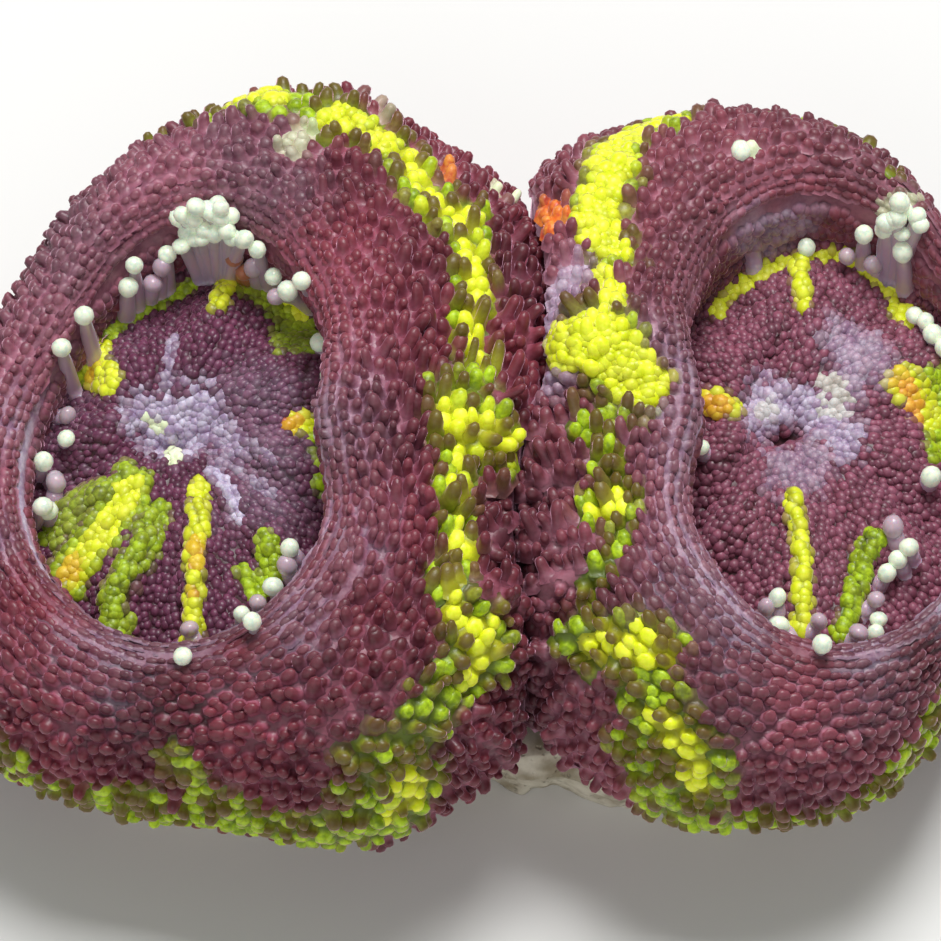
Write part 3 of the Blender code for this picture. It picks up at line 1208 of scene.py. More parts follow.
@dataclass(frozen=True)
class BeadFinish:
    """Tentacles: clear lilac stalks and milky beads, some of them clear as well."""

    name: str = "acan_tentacle"
    stalk: Colour = srgb(214, 180, 204)
    bead: Colour = srgb(240, 250, 224)
    bead_shade: Colour = srgb(206, 224, 206)
    stain: Colour = srgb(198, 120, 84)
    clear_alpha: float = 0.72

    def material(self) -> bpy.types.Material:
        """Builds the finish: the milk on each point mixes stalk and bead, and lets less through. The
        ember on it stains the stalk.

        Returns:
            The material.
        """
        material, tree, shader = start_material(self.name)
        milk, ember = tree.value(Pigment.MILK.value), tree.value(Pigment.EMBER.value)
        mottle = tree.ramp(tree.noise(4500.0), (0.4, 0.7))
        bead = tree.blend(mottle, self.bead, self.bead_shade)
        colour = tree.blend(milk, self.stalk, bead)
        inputs = {
            "Base Color": tree.blend(ember, colour, self.stain),
            # The milky beads glow in their own colour, though they are no lamp: painted light.
            "Emission Color": tree.blend(milk, BLACK, self.bead),
            "Alpha": tree.ramp(milk, (0.0, 0.8), (self.clear_alpha, 1.0)),
            "Emission Strength": 0.12,
            "Roughness": 0.3,
            "Subsurface Weight": 0.3,
            "Subsurface Scale": 0.2 * MM,
            "Sheen Weight": 0.5,
            "Sheen Roughness": 0.3,
            "Sheen Tint": srgb(236, 232, 250),
            "Coat Weight": 0.3,
            "Coat Roughness": 0.15,
        }
        tree.fill(shader, inputs)
        return material


@dataclass(frozen=True)
class StoneFinish:
    """Bare coral skeleton: pale, chalky and finely pitted."""

    name: str = "acan_skeleton"
    chalk: Colour = srgb(226, 219, 200)
    shade: Colour = srgb(158, 146, 122)
    stain: Colour = srgb(120, 116, 84)
    pit_depth: float = 0.12

    def material(self) -> bpy.types.Material:
        """Builds the finish: noise shades the chalk, broad noise stains it, and cells raise its bump.

        Returns:
            The material.
        """
        material, tree, shader = start_material(self.name)
        pits = tree.add("ShaderNodeTexVoronoi", {"Vector": tree.place(), "Scale": 3200.0})
        open_pits = tree.ramp(pits.outputs["Distance"], (0.0, 0.35))
        colour = tree.blend(tree.ramp(tree.noise(900.0, 5.0), (0.35, 0.7)), self.chalk, self.shade)
        stained = tree.math("MULTIPLY", tree.ramp(tree.noise(190.0, 3.0), (0.5, 0.75)), 0.5)
        colour = tree.blend(stained, colour, self.stain)
        raised = {"Height": open_pits, "Strength": 0.8, "Distance": self.pit_depth * MM}
        inputs = {
            "Base Color": colour,
            "Normal": tree.add("ShaderNodeBump", raised).outputs["Normal"],
            "Roughness": 0.9,
            "Specular IOR Level": 0.3,
        }
        tree.fill(shader, inputs)
        return material


# ---- A polyp's pieces ----

# The profiles of the small bodies, and what their rows carry from the foot to the pole: where they
# stand between the painted shade of the hollows and the tips' colour, how far they keep the
# pigments of the skin below or have their own, how olive they are, and how milky.
PAPILLA = (
    (0.0, -0.36, 1.10),
    (0.05, -0.03, 0.78),
    (0.28, 0.0, 0.57),
    (1.0, -0.42, 0.54),
    (1.0, -0.12, 0.40),
    (1.0, 0.0, 0.0),
)
PAPILLA_TIP = np.array([0.0, 0.03, 0.45, 0.9, 1.0, 1.0])
PAPILLA_OWN = np.array([0.0, 0.1, 0.5, 1.0, 1.0, 1.0])
PAPILLA_OLIVE = np.array([0.0, 0.2, 0.55, 0.85, 0.95, 0.9])
GRANULE = ((0.0, -0.3, 0.84), (0.35, 0.0, 0.64), (0.85, 0.0, 0.38), (1.0, 0.0, 0.0))
# With the disc finishes, whose tips are lighter than their net, this makes the disc granules' tops
# lighter as if lit from above: painted light.
GRANULE_TIP = np.array([0.2, 0.5, 0.9, 1.0])
TENTACLE = (
    (0.0, -0.3, 0.52),
    (0.12, 0.0, 0.46),
    (0.55, 0.0, 0.37),
    (1.0, -1.0, 0.28),
    (1.0, -0.88, 0.36),
    (1.0, -0.62, 0.49),
    (1.0, -0.36, 0.485),
    (1.0, -0.12, 0.33),
    (1.0, 0.0, 0.0),
)
TENTACLE_MILK = np.array([0.0, 0.0, 0.05, 0.25, 0.8, 1.0, 1.0, 1.0, 1.0])
SMALL_SEGMENTS, TENTACLE_SEGMENTS = 7, 12
# Added to a polyp's seed for the chance of its papillae and of its tentacles.
PAPILLA_SEED, TENTACLE_SEED = 3, 2
# How many rows of the skin there are from each key ring to the next: close together where it shows
# and far apart underneath.
SKIN_ROWS = (8, 14, 22, 16, 22, 28, 22, 14, 5, 2, 1)
# How high the skin rises round the foot of a papilla, and how wide.
FOOT_RISE, FOOT_REACH = 0.20, 0.32
# How far apart rows of small bodies are, as a share of the gaps within them, and how near to the
# crease and to the last line they may stand.
ROW_SHARE, CREASE_ROOM, END_ROOM = 0.87, 0.12, 0.1
# How far off the skin papillae are planted, and granules on the wall, and how far from the lip the
# upper papillae give way to the lower ones.
PAPILLA_LIFT, LEMON_LIFT, UPPER_END = 0.12, 0.16, 4.4
# The least, the likeliest and the greatest share of its due width and length that a papilla has, and
# the distances from the lip between which it grows to its full size.
WIDTH_CHANCE, LENGTH_CHANCE, GROWTH = (0.62, 1.0, 1.3), (0.5, 0.9, 1.6), (0.3, 4.2)
# The chance of an olive papilla on lemon, elsewhere and on granular skin, and how much more width
# and length bright papillae have than others: olive ones, and the rest.
OLIVE_ON_LEMON, OLIVE_ELSEWHERE, OLIVE_ON_GRANULES = 0.3, 0.6, 0.03
OLIVE_GAIN, BRIGHT_WIDTH_GAIN, BRIGHT_LENGTH_GAIN = 0.1, 0.2, -0.25
# A bead's mean width, and how many degrees a tentacle strays round where it strays by one ring.
BEAD_WIDTH, STRAY_DEGREES = 0.70, 8.0
UP, NORTH = np.array([0.0, 0.0, 1.0]), np.array([0.0, 1.0, 0.0])


@dataclass(frozen=True)
class Spacing:
    """How far apart small bodies stand, near to a line, far from it and farther still, each with
    the distance that it holds from, and by what shares of the gap they stray, near and far."""

    gaps: tuple[tuple[float, float], ...]
    strays: tuple[tuple[float, float], ...]

    def gap(self, arc: float) -> float:
        """The gap at a distance, read from the steps by straight interpolation."""
        return float(np.interp(arc, *zip(*self.gaps)))

    def stray(self, arc: float) -> float:
        """The straying at a distance, read from the steps by straight interpolation."""
        return float(np.interp(arc, *zip(*self.strays)))


WALL_SPACING = Spacing(((0.4, 0.36), (3.0, 0.52), (9.0, 0.58), (14.0, 0.8)), ((1.0, 0.1), (3.6, 0.30)))


@dataclass(frozen=True)
class TentacleGroup:
    """Some tentacles: the places that their beads stand at, spread evenly along a route, how many
    they are, how far the beads stand off the skin and stray about their places, how much of the
    spread their roots keep, how milky the beads are, and whether the stalks are stained amber."""

    route: tuple[Place, ...]
    count: int
    lift: float = 0.55
    stray: float = 0.0
    spread: float = 1.0
    milk: float = 1.0
    stained: bool = False


@dataclass(frozen=True)
class Finishes:
    """The materials of one polyp's pieces."""

    flesh: bpy.types.Material
    disc: bpy.types.Material
    tentacles: bpy.types.Material


@dataclass(frozen=True)
class Polyp:
    """One polyp: its node and slot, its form, its pigments and its tentacles, how many points its
    skin has round it, how wide and how long papillae are by the lip and far from it, and the range
    of turns, in degrees, in which its lemon skin is finely granular."""

    name: str
    node: str
    slot: str
    form: PolypForm
    strokes: tuple[Stroke, ...]
    tentacles: tuple[TentacleGroup, ...]
    columns: int = 350
    papilla_width: tuple[float, float] = (0.28, 0.40)
    papilla_length: tuple[float, float] = (0.18, 0.62)
    granular: tuple[float, float] = (0.0, 360.0)

    @cached_property
    def pigmentation(self) -> Pigmentation:
        """Where the pigments lie."""
        return Pigmentation(self.form, self.strokes)

    def skin_rows(self) -> Array:
        """The places across the rings of the skin's rows, without the poles at its two ends."""
        rows = [line + np.arange(count) / count for line, count in enumerate(SKIN_ROWS)]
        return np.concatenate(rows)[1:]

    def is_granular(self, turn: Array, masks: Masks) -> Array:
        """Whether places lie on finely granular skin: on lemon, within the granular turns."""
        start, end = np.radians(self.granular)
        return (masks[Pigment.LEMON] > 0.6) & (turn > start) & (turn < end)

    def build_skin(self, material: bpy.types.Material) -> bpy.types.Object:
        """The polyp's skin: the form on a grid of turns and places across, which rises round the
        feet of the papillae and is closed by a fan at the throat and one under the base.

        Args:
            material: The skin's finish.

        Returns:
            The piece.
        """
        rows = self.skin_rows()
        grids = np.meshgrid(rows, even_turns(self.columns), indexing="ij")
        across = np.concatenate([grids[0].ravel(), np.array([Line.THROAT, Line.BASE], float)])
        places = Places(self.form, np.concatenate([grids[1].ravel(), np.zeros(2)]), across)
        wall = smooth_step(Line.LIP - 0.5, Line.LIP + 0.6, across)
        disc = smooth_step(Line.MARGIN + 0.2, Line.MARGIN - 0.2, across)
        beside = hump(distance_to_nearest(places.points, self.papillae[0].points), FOOT_REACH)
        outward = self.form.facing(self.form.bare, places.turn, across)
        points = places.points + (FOOT_RISE * wall * beside)[:, None] * outward
        masks = self.pigmentation.masks(places.bare)
        values = {pigment.value: mask for pigment, mask in masks.items()}
        values["pale"] = np.maximum(values["pale"], places.lip_haze)
        # Painted shade: the skin is kept darker round the feet of the papillae, the disc's skin takes
        # the hollows' colour between its granules, and the crease darkens the flesh.
        tip = places.ground_tip + 0.10 * wall * (1 - beside)
        values["tip"] = tip * (1 - disc) * places.painted_crease_shade
        values["tone"] = 0.5 + 0.4 * self.form.noise(places.bare, 2.2)
        values["olive"] = 0.5 * np.clip(self.form.noise(places.bare, 0.9), 0, 1)
        throat = len(rows) * self.columns
        fans = [
            fan(0, self.columns, throat)[:, ::-1],
            fan(throat - self.columns, self.columns, throat + 1),
        ]
        quads = grid_quads(len(rows), self.columns)
        return Skin(points, quads, np.concatenate(fans), values).build(f"{self.name}_skin", material)

    def places_in_rows(
        self, ends: tuple[float, float], table: Array, first: float, spacing: Spacing, seed: int
    ) -> tuple[Places, Array]:
        """Scattered places on the skin. Rows run round the polyp at growing distances from a line,
        and each holds as many places as its length over the gap; the places stray from their rows
        by a share of the gap.

        Args:
            ends: The lines across at which the distances start and end.
            table: The distances between them.
            first: The first row's distance.
            spacing: The gaps and the straying.
            seed: The start of the chance.

        Returns:
            The places, and their distances from the first line.
        """
        random = np.random.default_rng(seed)
        form = self.form
        turns = np.arange(ARC_TURNS + 1) * 2 * math.pi / ARC_TURNS
        lines = np.linspace(*ends, ARC_STEPS)
        arc, rows = first, []
        while arc < table.max():
            gap = spacing.gap(arc)
            across = np.array([np.interp(arc, column, lines) for column in table])
            across = np.append(across, across[0])
            ring = form.bare(turns, across)
            run = np.concatenate([[0], np.cumsum(np.linalg.norm(np.diff(ring, axis=0), axis=1))])
            count = max(int(run[-1] / gap), 3)
            slots = (np.arange(count) + random.uniform(0, 1)) / count * run[-1]
            stray = gap * spacing.stray(arc)
            slots = slots + stray * random.uniform(-1, 1, count)
            arcs = arc + stray * random.uniform(-1, 1, count)
            rows.append(np.stack([np.interp(slots % run[-1], run, turns), arcs]))
            arc += ROW_SHARE * gap
        turn, arcs = np.concatenate(rows, axis=1)
        row = np.floor(turn / (2 * math.pi) * ARC_TURNS).astype(int) % ARC_TURNS
        inside = arcs < table[row, -1] - END_ROOM
        turn, arcs, reach = turn[inside], arcs[inside], table[row[inside]]
        across = np.array([np.interp(arc, column, lines) for arc, column in zip(arcs, reach)])
        return Places(form, turn, across), arcs

    @cached_property
    def papillae(self) -> tuple[Places, Array]:
        """Where papillae stand: the wall's places that are clear of the crease.

        Returns:
            The places, and their distances from the lip.
        """
        table, seed = self.form.arc_table, self.form.seed
        places, arc = self.places_in_rows((Line.LIP, Line.HEM), table, 0.5, WALL_SPACING, seed)
        kept = places.room > CREASE_ROOM
        return places.where(kept), arc[kept]

    def papilla_sizes(
        self, places: Places, arc: Array, masks: Masks, under: Masks, random: np.random.Generator
    ) -> tuple[Array, Array, Array]:
        """How large papillae are: short and slim by the lip, long and stout farther out. The bright
        ones are stout and low, with taller olive ones among them, and all of them are low where the
        flesh is a smooth pale haze, near the crease and the hem, and on the near and the far side.

        Args:
            places: Where they stand.
            arc: Their distances from the lip, in mm.
            masks: Their pigments.
            under: The pigments of the skin below them.
            random: The chance.

        Returns:
            Their widths, their lengths, and which of them are olive.
        """
        count = len(arc)
        bright = np.maximum(masks[Pigment.LEMON], masks[Pigment.LEAF])
        grown = smooth_step(*GROWTH, arc)
        slim, stout = self.papilla_width
        width = (slim + (stout - slim) * grown) * random.triangular(*WIDTH_CHANCE, count)
        width *= 1 - 0.12 * places.front_lip
        short, long = self.papilla_length
        length = (short + (long - short) * grown) * random.triangular(*LENGTH_CHANCE, count)
        chance = np.where(masks[Pigment.LEMON] > 0.4, OLIVE_ON_LEMON, OLIVE_ELSEWHERE)
        chance *= 1 - 0.6 * smooth_step(7.0, 10.0, arc)
        chance[self.is_granular(places.turn, under)] = OLIVE_ON_GRANULES
        olive = random.uniform(0, 1, count) < chance
        length *= 1 + bright * np.where(olive, OLIVE_GAIN, BRIGHT_LENGTH_GAIN)
        width *= 1 + bright * np.where(olive, OLIVE_GAIN, BRIGHT_WIDTH_GAIN)
        length *= 1 - 0.8 * masks[Pigment.PALE] * smooth_step(1.0, 2.0, arc)
        length *= 0.55 + 0.45 * smooth_step(0.0, 1.0, places.room)
        length *= 1 - 0.5 * smooth_step(Line.TUCK, Line.HEM, places.across)
        length *= 1 - 0.4 * smooth_step(*BOTH_SPAN, np.abs(np.sin(places.turn)))
        return width, length, olive

    def build_papillae(
        self, part: str, between: tuple[float, float], material: bpy.types.Material
    ) -> bpy.types.Object:
        """Some of the wall's papillae. They stand upright by the crease, lean back where the wall
        faces up, and run from the skin's own colours at the foot to theirs at the tip.

        Args:
            part: What the piece is called.
            between: The distances from the lip that its papillae stand between, in mm.
            material: The papillae's finish.

        Returns:
            The piece.
        """
        random = np.random.default_rng(self.form.seed + PAPILLA_SEED + int(10 * between[0]))
        places, arc = self.papillae
        chosen = (arc >= between[0]) & (arc < between[1])
        places, arc = places.where(chosen), arc[chosen]
        count = len(arc)
        under = self.pigmentation.masks(places.bare)
        masks = self.pigmentation.masks(places.bare, random.uniform(-1, 1, count))
        width, length, olive = self.papilla_sizes(places, arc, masks, under, random)
        normal = places.normals
        scatter = unit_rows(random.normal(size=(count, 3)))
        upright = 0.9 * smooth_step(1.4, 0.2, places.room)[:, None] * UP
        lean = smooth_step(0.3, 0.9, normal[:, 2]) * smooth_step(0.8, 2.6, arc)
        bend = 0.42 * lean[:, None] * NORTH + 0.26 * scatter
        drawn_out = 0.6 * np.exp(-arc / 1.8) + 0.5 * places.front_lip
        crowd = Crowd(
            roots=places.points + PAPILLA_LIFT * normal,
            ground=normal,
            axes=unit_rows(normal + upright + 0.08 * scatter),
            sway=length[:, None] * bend,
            grain=self.form.bare(places.turn + 0.02, places.across) - places.bare,
            lengths=length,
            widths=width,
            stretch=random.uniform(0.95, 1.1, count) + drawn_out,
            profile=PAPILLA,
            segments=SMALL_SEGMENTS,
        )
        values = {
            key.value: under[key][:, None] + np.outer(masks[key] - under[key], PAPILLA_OWN)
            for key in Pigment
        }
        haze = places.lip_haze[:, None] * (1 - 0.7 * PAPILLA_OWN)
        values["pale"] = np.maximum(values["pale"], haze)
        ground, flush = places.ground_tip[:, None], (1 - 0.3 * places.far_side)[:, None]
        values["tip"] = ground + (1 - ground) * flush * PAPILLA_TIP
        values["olive"] = np.outer(olive, PAPILLA_OLIVE)
        # The crease's painted shade darkens the papillae's tone there too.
        drift = (0.5 + 0.9 * self.form.noise(places.bare, 3.2)) * places.painted_crease_shade
        values["tone"] = np.clip(drift + 0.3 * random.uniform(-1, 1, count), 0, 1)
        return crowd.skin(values).build(f"{self.name}_{part}", material)

    def build_granules(
        self,
        part: str,
        ends: tuple[float, float],
        gap: float,
        material: bpy.types.Material,
        lemon_only: bool = False,
    ) -> bpy.types.Object:
        """Granules in rows round the polyp, drawn out along the radius.

        Args:
            part: What the piece is called.
            ends: The lines across that the granules stand between.
            gap: How far apart they stand.
            material: Their finish.
            lemon_only: Whether they stand only where the lemon pigment lies, and in the granular
                range of turns.

        Returns:
            The piece.
        """
        seed = self.form.seed + int(100 * gap) + int(ends[0])
        random = np.random.default_rng(seed)
        spacing = Spacing(((0.0, gap),), ((0.0, 0.34),))
        places = self.places_in_rows(ends, self.form.distances(*ends), 0.1, spacing, seed)[0]
        if lemon_only:
            masks = self.pigmentation.masks(places.bare)
            places = places.where(self.is_granular(places.turn, masks))
        count = len(places.turn)
        masks = self.pigmentation.masks(places.bare, random.uniform(-1, 1, count))
        bright = np.maximum(masks[Pigment.LEMON], masks[Pigment.LEAF])
        width = gap * random.uniform(0.68, 1.25, count)
        width *= 1 + 0.4 * bright + 0.15 * masks[Pigment.PALE]
        normal = places.normals
        crowd = Crowd(
            roots=places.points + (LEMON_LIFT if lemon_only else 0.0) * normal,
            ground=normal,
            axes=unit_rows(normal + 0.2 * unit_rows(random.normal(size=(count, 3)))),
            sway=np.zeros((count, 3)),
            grain=self.form.bare(places.turn, places.across + 0.1) - places.bare,
            lengths=0.56 * width,
            widths=width,
            stretch=random.uniform(1.0, 1.35, count),
            profile=GRANULE,
            segments=SMALL_SEGMENTS,
        )
        values = {pigment.value: mask for pigment, mask in masks.items()}
        values["olive"] = 0.3 * random.uniform(0, 1, count)
        values["tip"] = np.broadcast_to(GRANULE_TIP, (count, len(GRANULE_TIP)))
        values["tone"] = random.uniform(0, 1, count)
        return crowd.skin(values).build(f"{self.name}_{part}", material)

    def build_tentacles(self, material: bpy.types.Material) -> bpy.types.Object:
        """The tentacles round the margin: each is a stalk from its root to its bead, which stands
        off the skin at the group's reach.

        Args:
            material: The tentacles' finish.

        Returns:
            The piece.
        """
        random = np.random.default_rng(self.form.seed + TENTACLE_SEED)
        columns = []
        for group in self.tentacles:
            place = np.linspace(0, len(group.route) - 1, group.count)
            along = [np.interp(place, range(len(group.route)), axis) for axis in zip(*group.route)]
            swing = STRAY_DEGREES * group.stray * random.uniform(-1, 1, group.count)
            turn = np.radians(along[0] + swing)
            columns.append(
                (
                    turn,
                    turn.mean() + group.spread * (turn - turn.mean()),
                    along[1] + group.stray * random.uniform(-1, 1, group.count),
                    group.lift * random.uniform(0.85, 1.2, group.count),
                    np.full(group.count, group.milk),
                    np.full(group.count, group.stained, float),
                )
            )
        turn, foot, reach, lift, milkiness, stain = (np.concatenate(part) for part in zip(*columns))
        count = len(turn)
        root = self.form.skin(foot, np.clip(reach + 0.12, 0, Line.MARGIN + 0.1))
        below = Places(self.form, turn, reach)
        head = below.points + lift[:, None] * below.normals
        width = BEAD_WIDTH * random.uniform(0.88, 1.1, count)
        length = np.linalg.norm(head - root, axis=1) + 0.5 * width
        crowd = Crowd(
            roots=root,
            ground=unit_rows(head - root),
            axes=head - root,
            sway=0.06 * length[:, None] * random.normal(size=(count, 3)),
            grain=random.normal(size=(count, 3)),
            lengths=np.maximum(length, 1.2 * width),
            widths=width,
            stretch=np.ones(count),
            profile=TENTACLE,
            segments=TENTACLE_SEGMENTS,
        )
        values = {"milk": TENTACLE_MILK * milkiness[:, None], "ember": stain}
        return crowd.skin(values).build(f"{self.name}_tentacles", material)

    def build(self, finishes: Finishes) -> None:
        """Builds the polyp's pieces and hangs them on the frame in place of its node.

        Args:
            finishes: The polyp's materials.
        """
        disc = (Line.MOUTH - 0.6, Line.MARGIN + 0.3)
        inner = (Line.MARGIN + 0.4, Line.LIP - 0.1)
        wall = (Line.LIP + 0.1, Line.TUCK)
        pieces = [
            (self.build_skin(finishes.flesh), self.slot),
            (self.build_papillae("upper_papillae", (0.0, UPPER_END), finishes.flesh), self.slot),
            (self.build_papillae("lower_papillae", (UPPER_END, math.inf), finishes.flesh), self.slot),
            (self.build_granules("disc_granules", disc, 0.27, finishes.disc), self.slot),
            (self.build_granules("inner_granules", inner, 0.36, finishes.flesh), self.slot),
            (self.build_granules("lemon_granules", wall, 0.26, finishes.flesh, True), self.slot),
            (self.build_tentacles(finishes.tentacles), "tentacle_beads"),
        ]
        for piece, slot in pieces:
            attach(piece, "root")
        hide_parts(self.node)


# ---- The skeleton ----


@dataclass(frozen=True)
class Skeleton:
    """The stub of skeleton under the polyps: a Cassini oval with ribs, cut off flat underneath. Its
    layers are shares of its height and of its full reach, and its grit is noise as heights and
    grains."""

    name: str = "skeleton_stub"
    node: str = "skeleton"
    slot: str = "pale_skeleton"
    waist_share: float = 0.376
    broadening: float = 1.25
    ribs: int = 44
    rib_crowding: float = 0.35
    rib_depth: float = 0.35
    grit: tuple[tuple[float, float], ...] = ((0.10, 0.45), (0.14, 1.1))
    seed: int = 5
    layers: tuple[tuple[float, float], ...] = (
        (0.0, 0.93),
        (0.33, 0.97),
        (0.77, 1.0),
        (1.12, 0.94),
        (1.16, 0.6),
    )
    columns: int = 704
    rows: int = 36

    def outline(self, turn: Array, spread: Array) -> tuple[Array, Array]:
        """The reach of the oval and its ribs. The reach is the root of
        f*cos(2a) + sqrt(s^2 - (f*sin(2a))^2), where f and s are half the difference and half the sum
        of the squares of its half length and half waist, and a is the turn. The ribs are a cosine,
        which crowds towards the waist.

        Args:
            turn: n angles in radians.
            spread: n shares of the full reach.

        Returns:
            n lengths, as shares of the half length, and n heights of the ribs, from -1 to 1.
        """
        focus = (1 - self.waist_share**2) / 2
        size = (1 + self.waist_share**2) / 2
        double = 2 * turn
        reach = np.sqrt(focus * np.cos(double) + np.sqrt(size**2 - (focus * np.sin(double)) ** 2))
        even = turn + self.rib_crowding * np.sin(double) / 2
        return spread * reach, np.cos(self.ribs / 2 * even)

    def build(self, material: bpy.types.Material) -> None:
        """Builds the stub and hangs it on the frame in place of its node.

        Args:
            material: The stone's finish.
        """
        low, high = (np.array(corner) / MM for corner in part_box(self.node))
        middle, half_length = (low + high)[:2] / 2, (high - low)[0] / 2
        heights, spreads = np.array(self.layers).T
        level = np.linspace(0, heights[-1], self.rows)
        grids = np.meshgrid(np.interp(level, heights, spreads), even_turns(self.columns), indexing="ij")
        spread, turn = (grid.ravel() for grid in grids)
        reach, rib = self.outline(turn, spread)
        flat = reach * half_length
        x = middle[0] + flat * np.cos(turn)
        y = middle[1] + flat * self.broadening * np.sin(turn)
        points = np.stack([x, y, high[2] * np.repeat(level, self.columns)], axis=1)
        noise = Lattice(self.seed)
        raised = 0.5 * self.rib_depth * (rib - 1)
        raised += sum(height * noise(points, grain) for height, grain in self.grit)
        shrink = 1 + raised / np.maximum(flat, 1.0)
        points[:, :2] = middle + (points[:, :2] - middle) * shrink[:, None]
        top = len(points)
        points = np.concatenate([points, [[*middle, high[2] * heights[-1]], [*middle, low[2]]]])
        fans = [
            fan(top - self.columns, self.columns, top)[:, ::-1],
            fan(0, self.columns, top + 1),
        ]
        quads = grid_quads(self.rows, self.columns)[:, ::-1]
        piece = Skin(points, quads, np.concatenate(fans), {}).build(self.name, material)
        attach(piece, "root")
        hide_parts(self.node)


# ---- Studio ----


@dataclass(frozen=True)
class Lamp:
    """A soft square lamp: where it is from the middle of the coral, its width in metres and its
    power in watts."""

    name: str
    place: tuple[float, float, float]
    width: float
    power: float


@dataclass(frozen=True)
class Studio:
    """Floor, light and camera: strengths and lengths in metres, but for the width of the view."""

    floor_half: float = 1.5
    floor_colour: Colour = srgb(236, 236, 234)
    world_strength: float = 0.24
    backdrop_strength: float = 0.92
    camera_elevation: float = 62.0
    camera_distance: float = 0.25
    camera_target: tuple[float, float, float] = (-0.00181, 0.0, 0.010)
    view_width: float = 33.13
    lamps: tuple[Lamp, ...] = (
        Lamp("overhead", (0.02, 0.12, 0.29), 0.13, 0.95),
        Lamp("front_fill", (-0.12, -0.26, 0.20), 0.30, 0.24),
    )

    def build(self) -> None:
        """Makes the floor, the world, the lamps and the camera."""
        self.make_floor()
        self.make_world()
        for lamp in self.lamps:
            self.make_lamp(lamp)
        self.make_camera()

    def make_floor(self) -> None:
        """A wide plain sheet under the coral."""
        mesh = bpy.data.meshes.new("floor")
        half = self.floor_half
        corners = [(-half, -half, 0), (half, -half, 0), (half, half, 0), (-half, half, 0)]
        mesh.from_pydata(corners, [], [(0, 1, 2, 3)])
        material, tree, shader = start_material("floor_paper")
        tree.fill(shader, {"Base Color": self.floor_colour, "Roughness": 0.85})
        mesh.materials.append(material)
        floor = place_in_scene("floor", mesh)

    def make_world(self) -> None:
        """An even pale world, which the camera sees as white."""
        world = bpy.data.worlds.new("studio")
        bpy.context.scene.world = world
        world.use_nodes = True
        tree = ShaderTree(world.node_tree)
        seen = tree.add("ShaderNodeLightPath").outputs["Is Camera Ray"]
        strength = tree.ramp(seen, (0.0, 1.0), (self.world_strength, self.backdrop_strength))
        background = world.node_tree.nodes["Background"]
        tree.fill(background, {"Color": (1.0, 1.0, 1.0, 1.0), "Strength": strength})

    def make_lamp(self, lamp: Lamp) -> None:
        """One soft lamp that faces the coral.

        Args:
            lamp: The lamp.
        """
        data = bpy.data.lights.new(lamp.name, "AREA")
        data.size = lamp.width
        data.energy = lamp.power
        made = place_in_scene(lamp.name, data)
        made.location = lamp.place
        made.rotation_euler = (-Vector(lamp.place)).to_track_quat("-Z", "Y").to_euler()

    def make_camera(self) -> None:
        """The camera, which looks down on the coral from the front."""
        data = bpy.data.cameras.new("camera")
        tilt = math.radians(self.camera_elevation)
        data.lens = data.sensor_width * self.camera_distance / (self.view_width * MM)
        data.clip_start = 0.01
        back = Vector((0, -math.cos(tilt), math.sin(tilt)))
        camera = place_in_scene("camera", data)
        camera.location = Vector(self.camera_target) + self.camera_distance * back
        camera.rotation_euler = (-back).to_track_quat("-Z", "Y").to_euler()
        bpy.context.scene.camera = camera


# ---- The coral ----


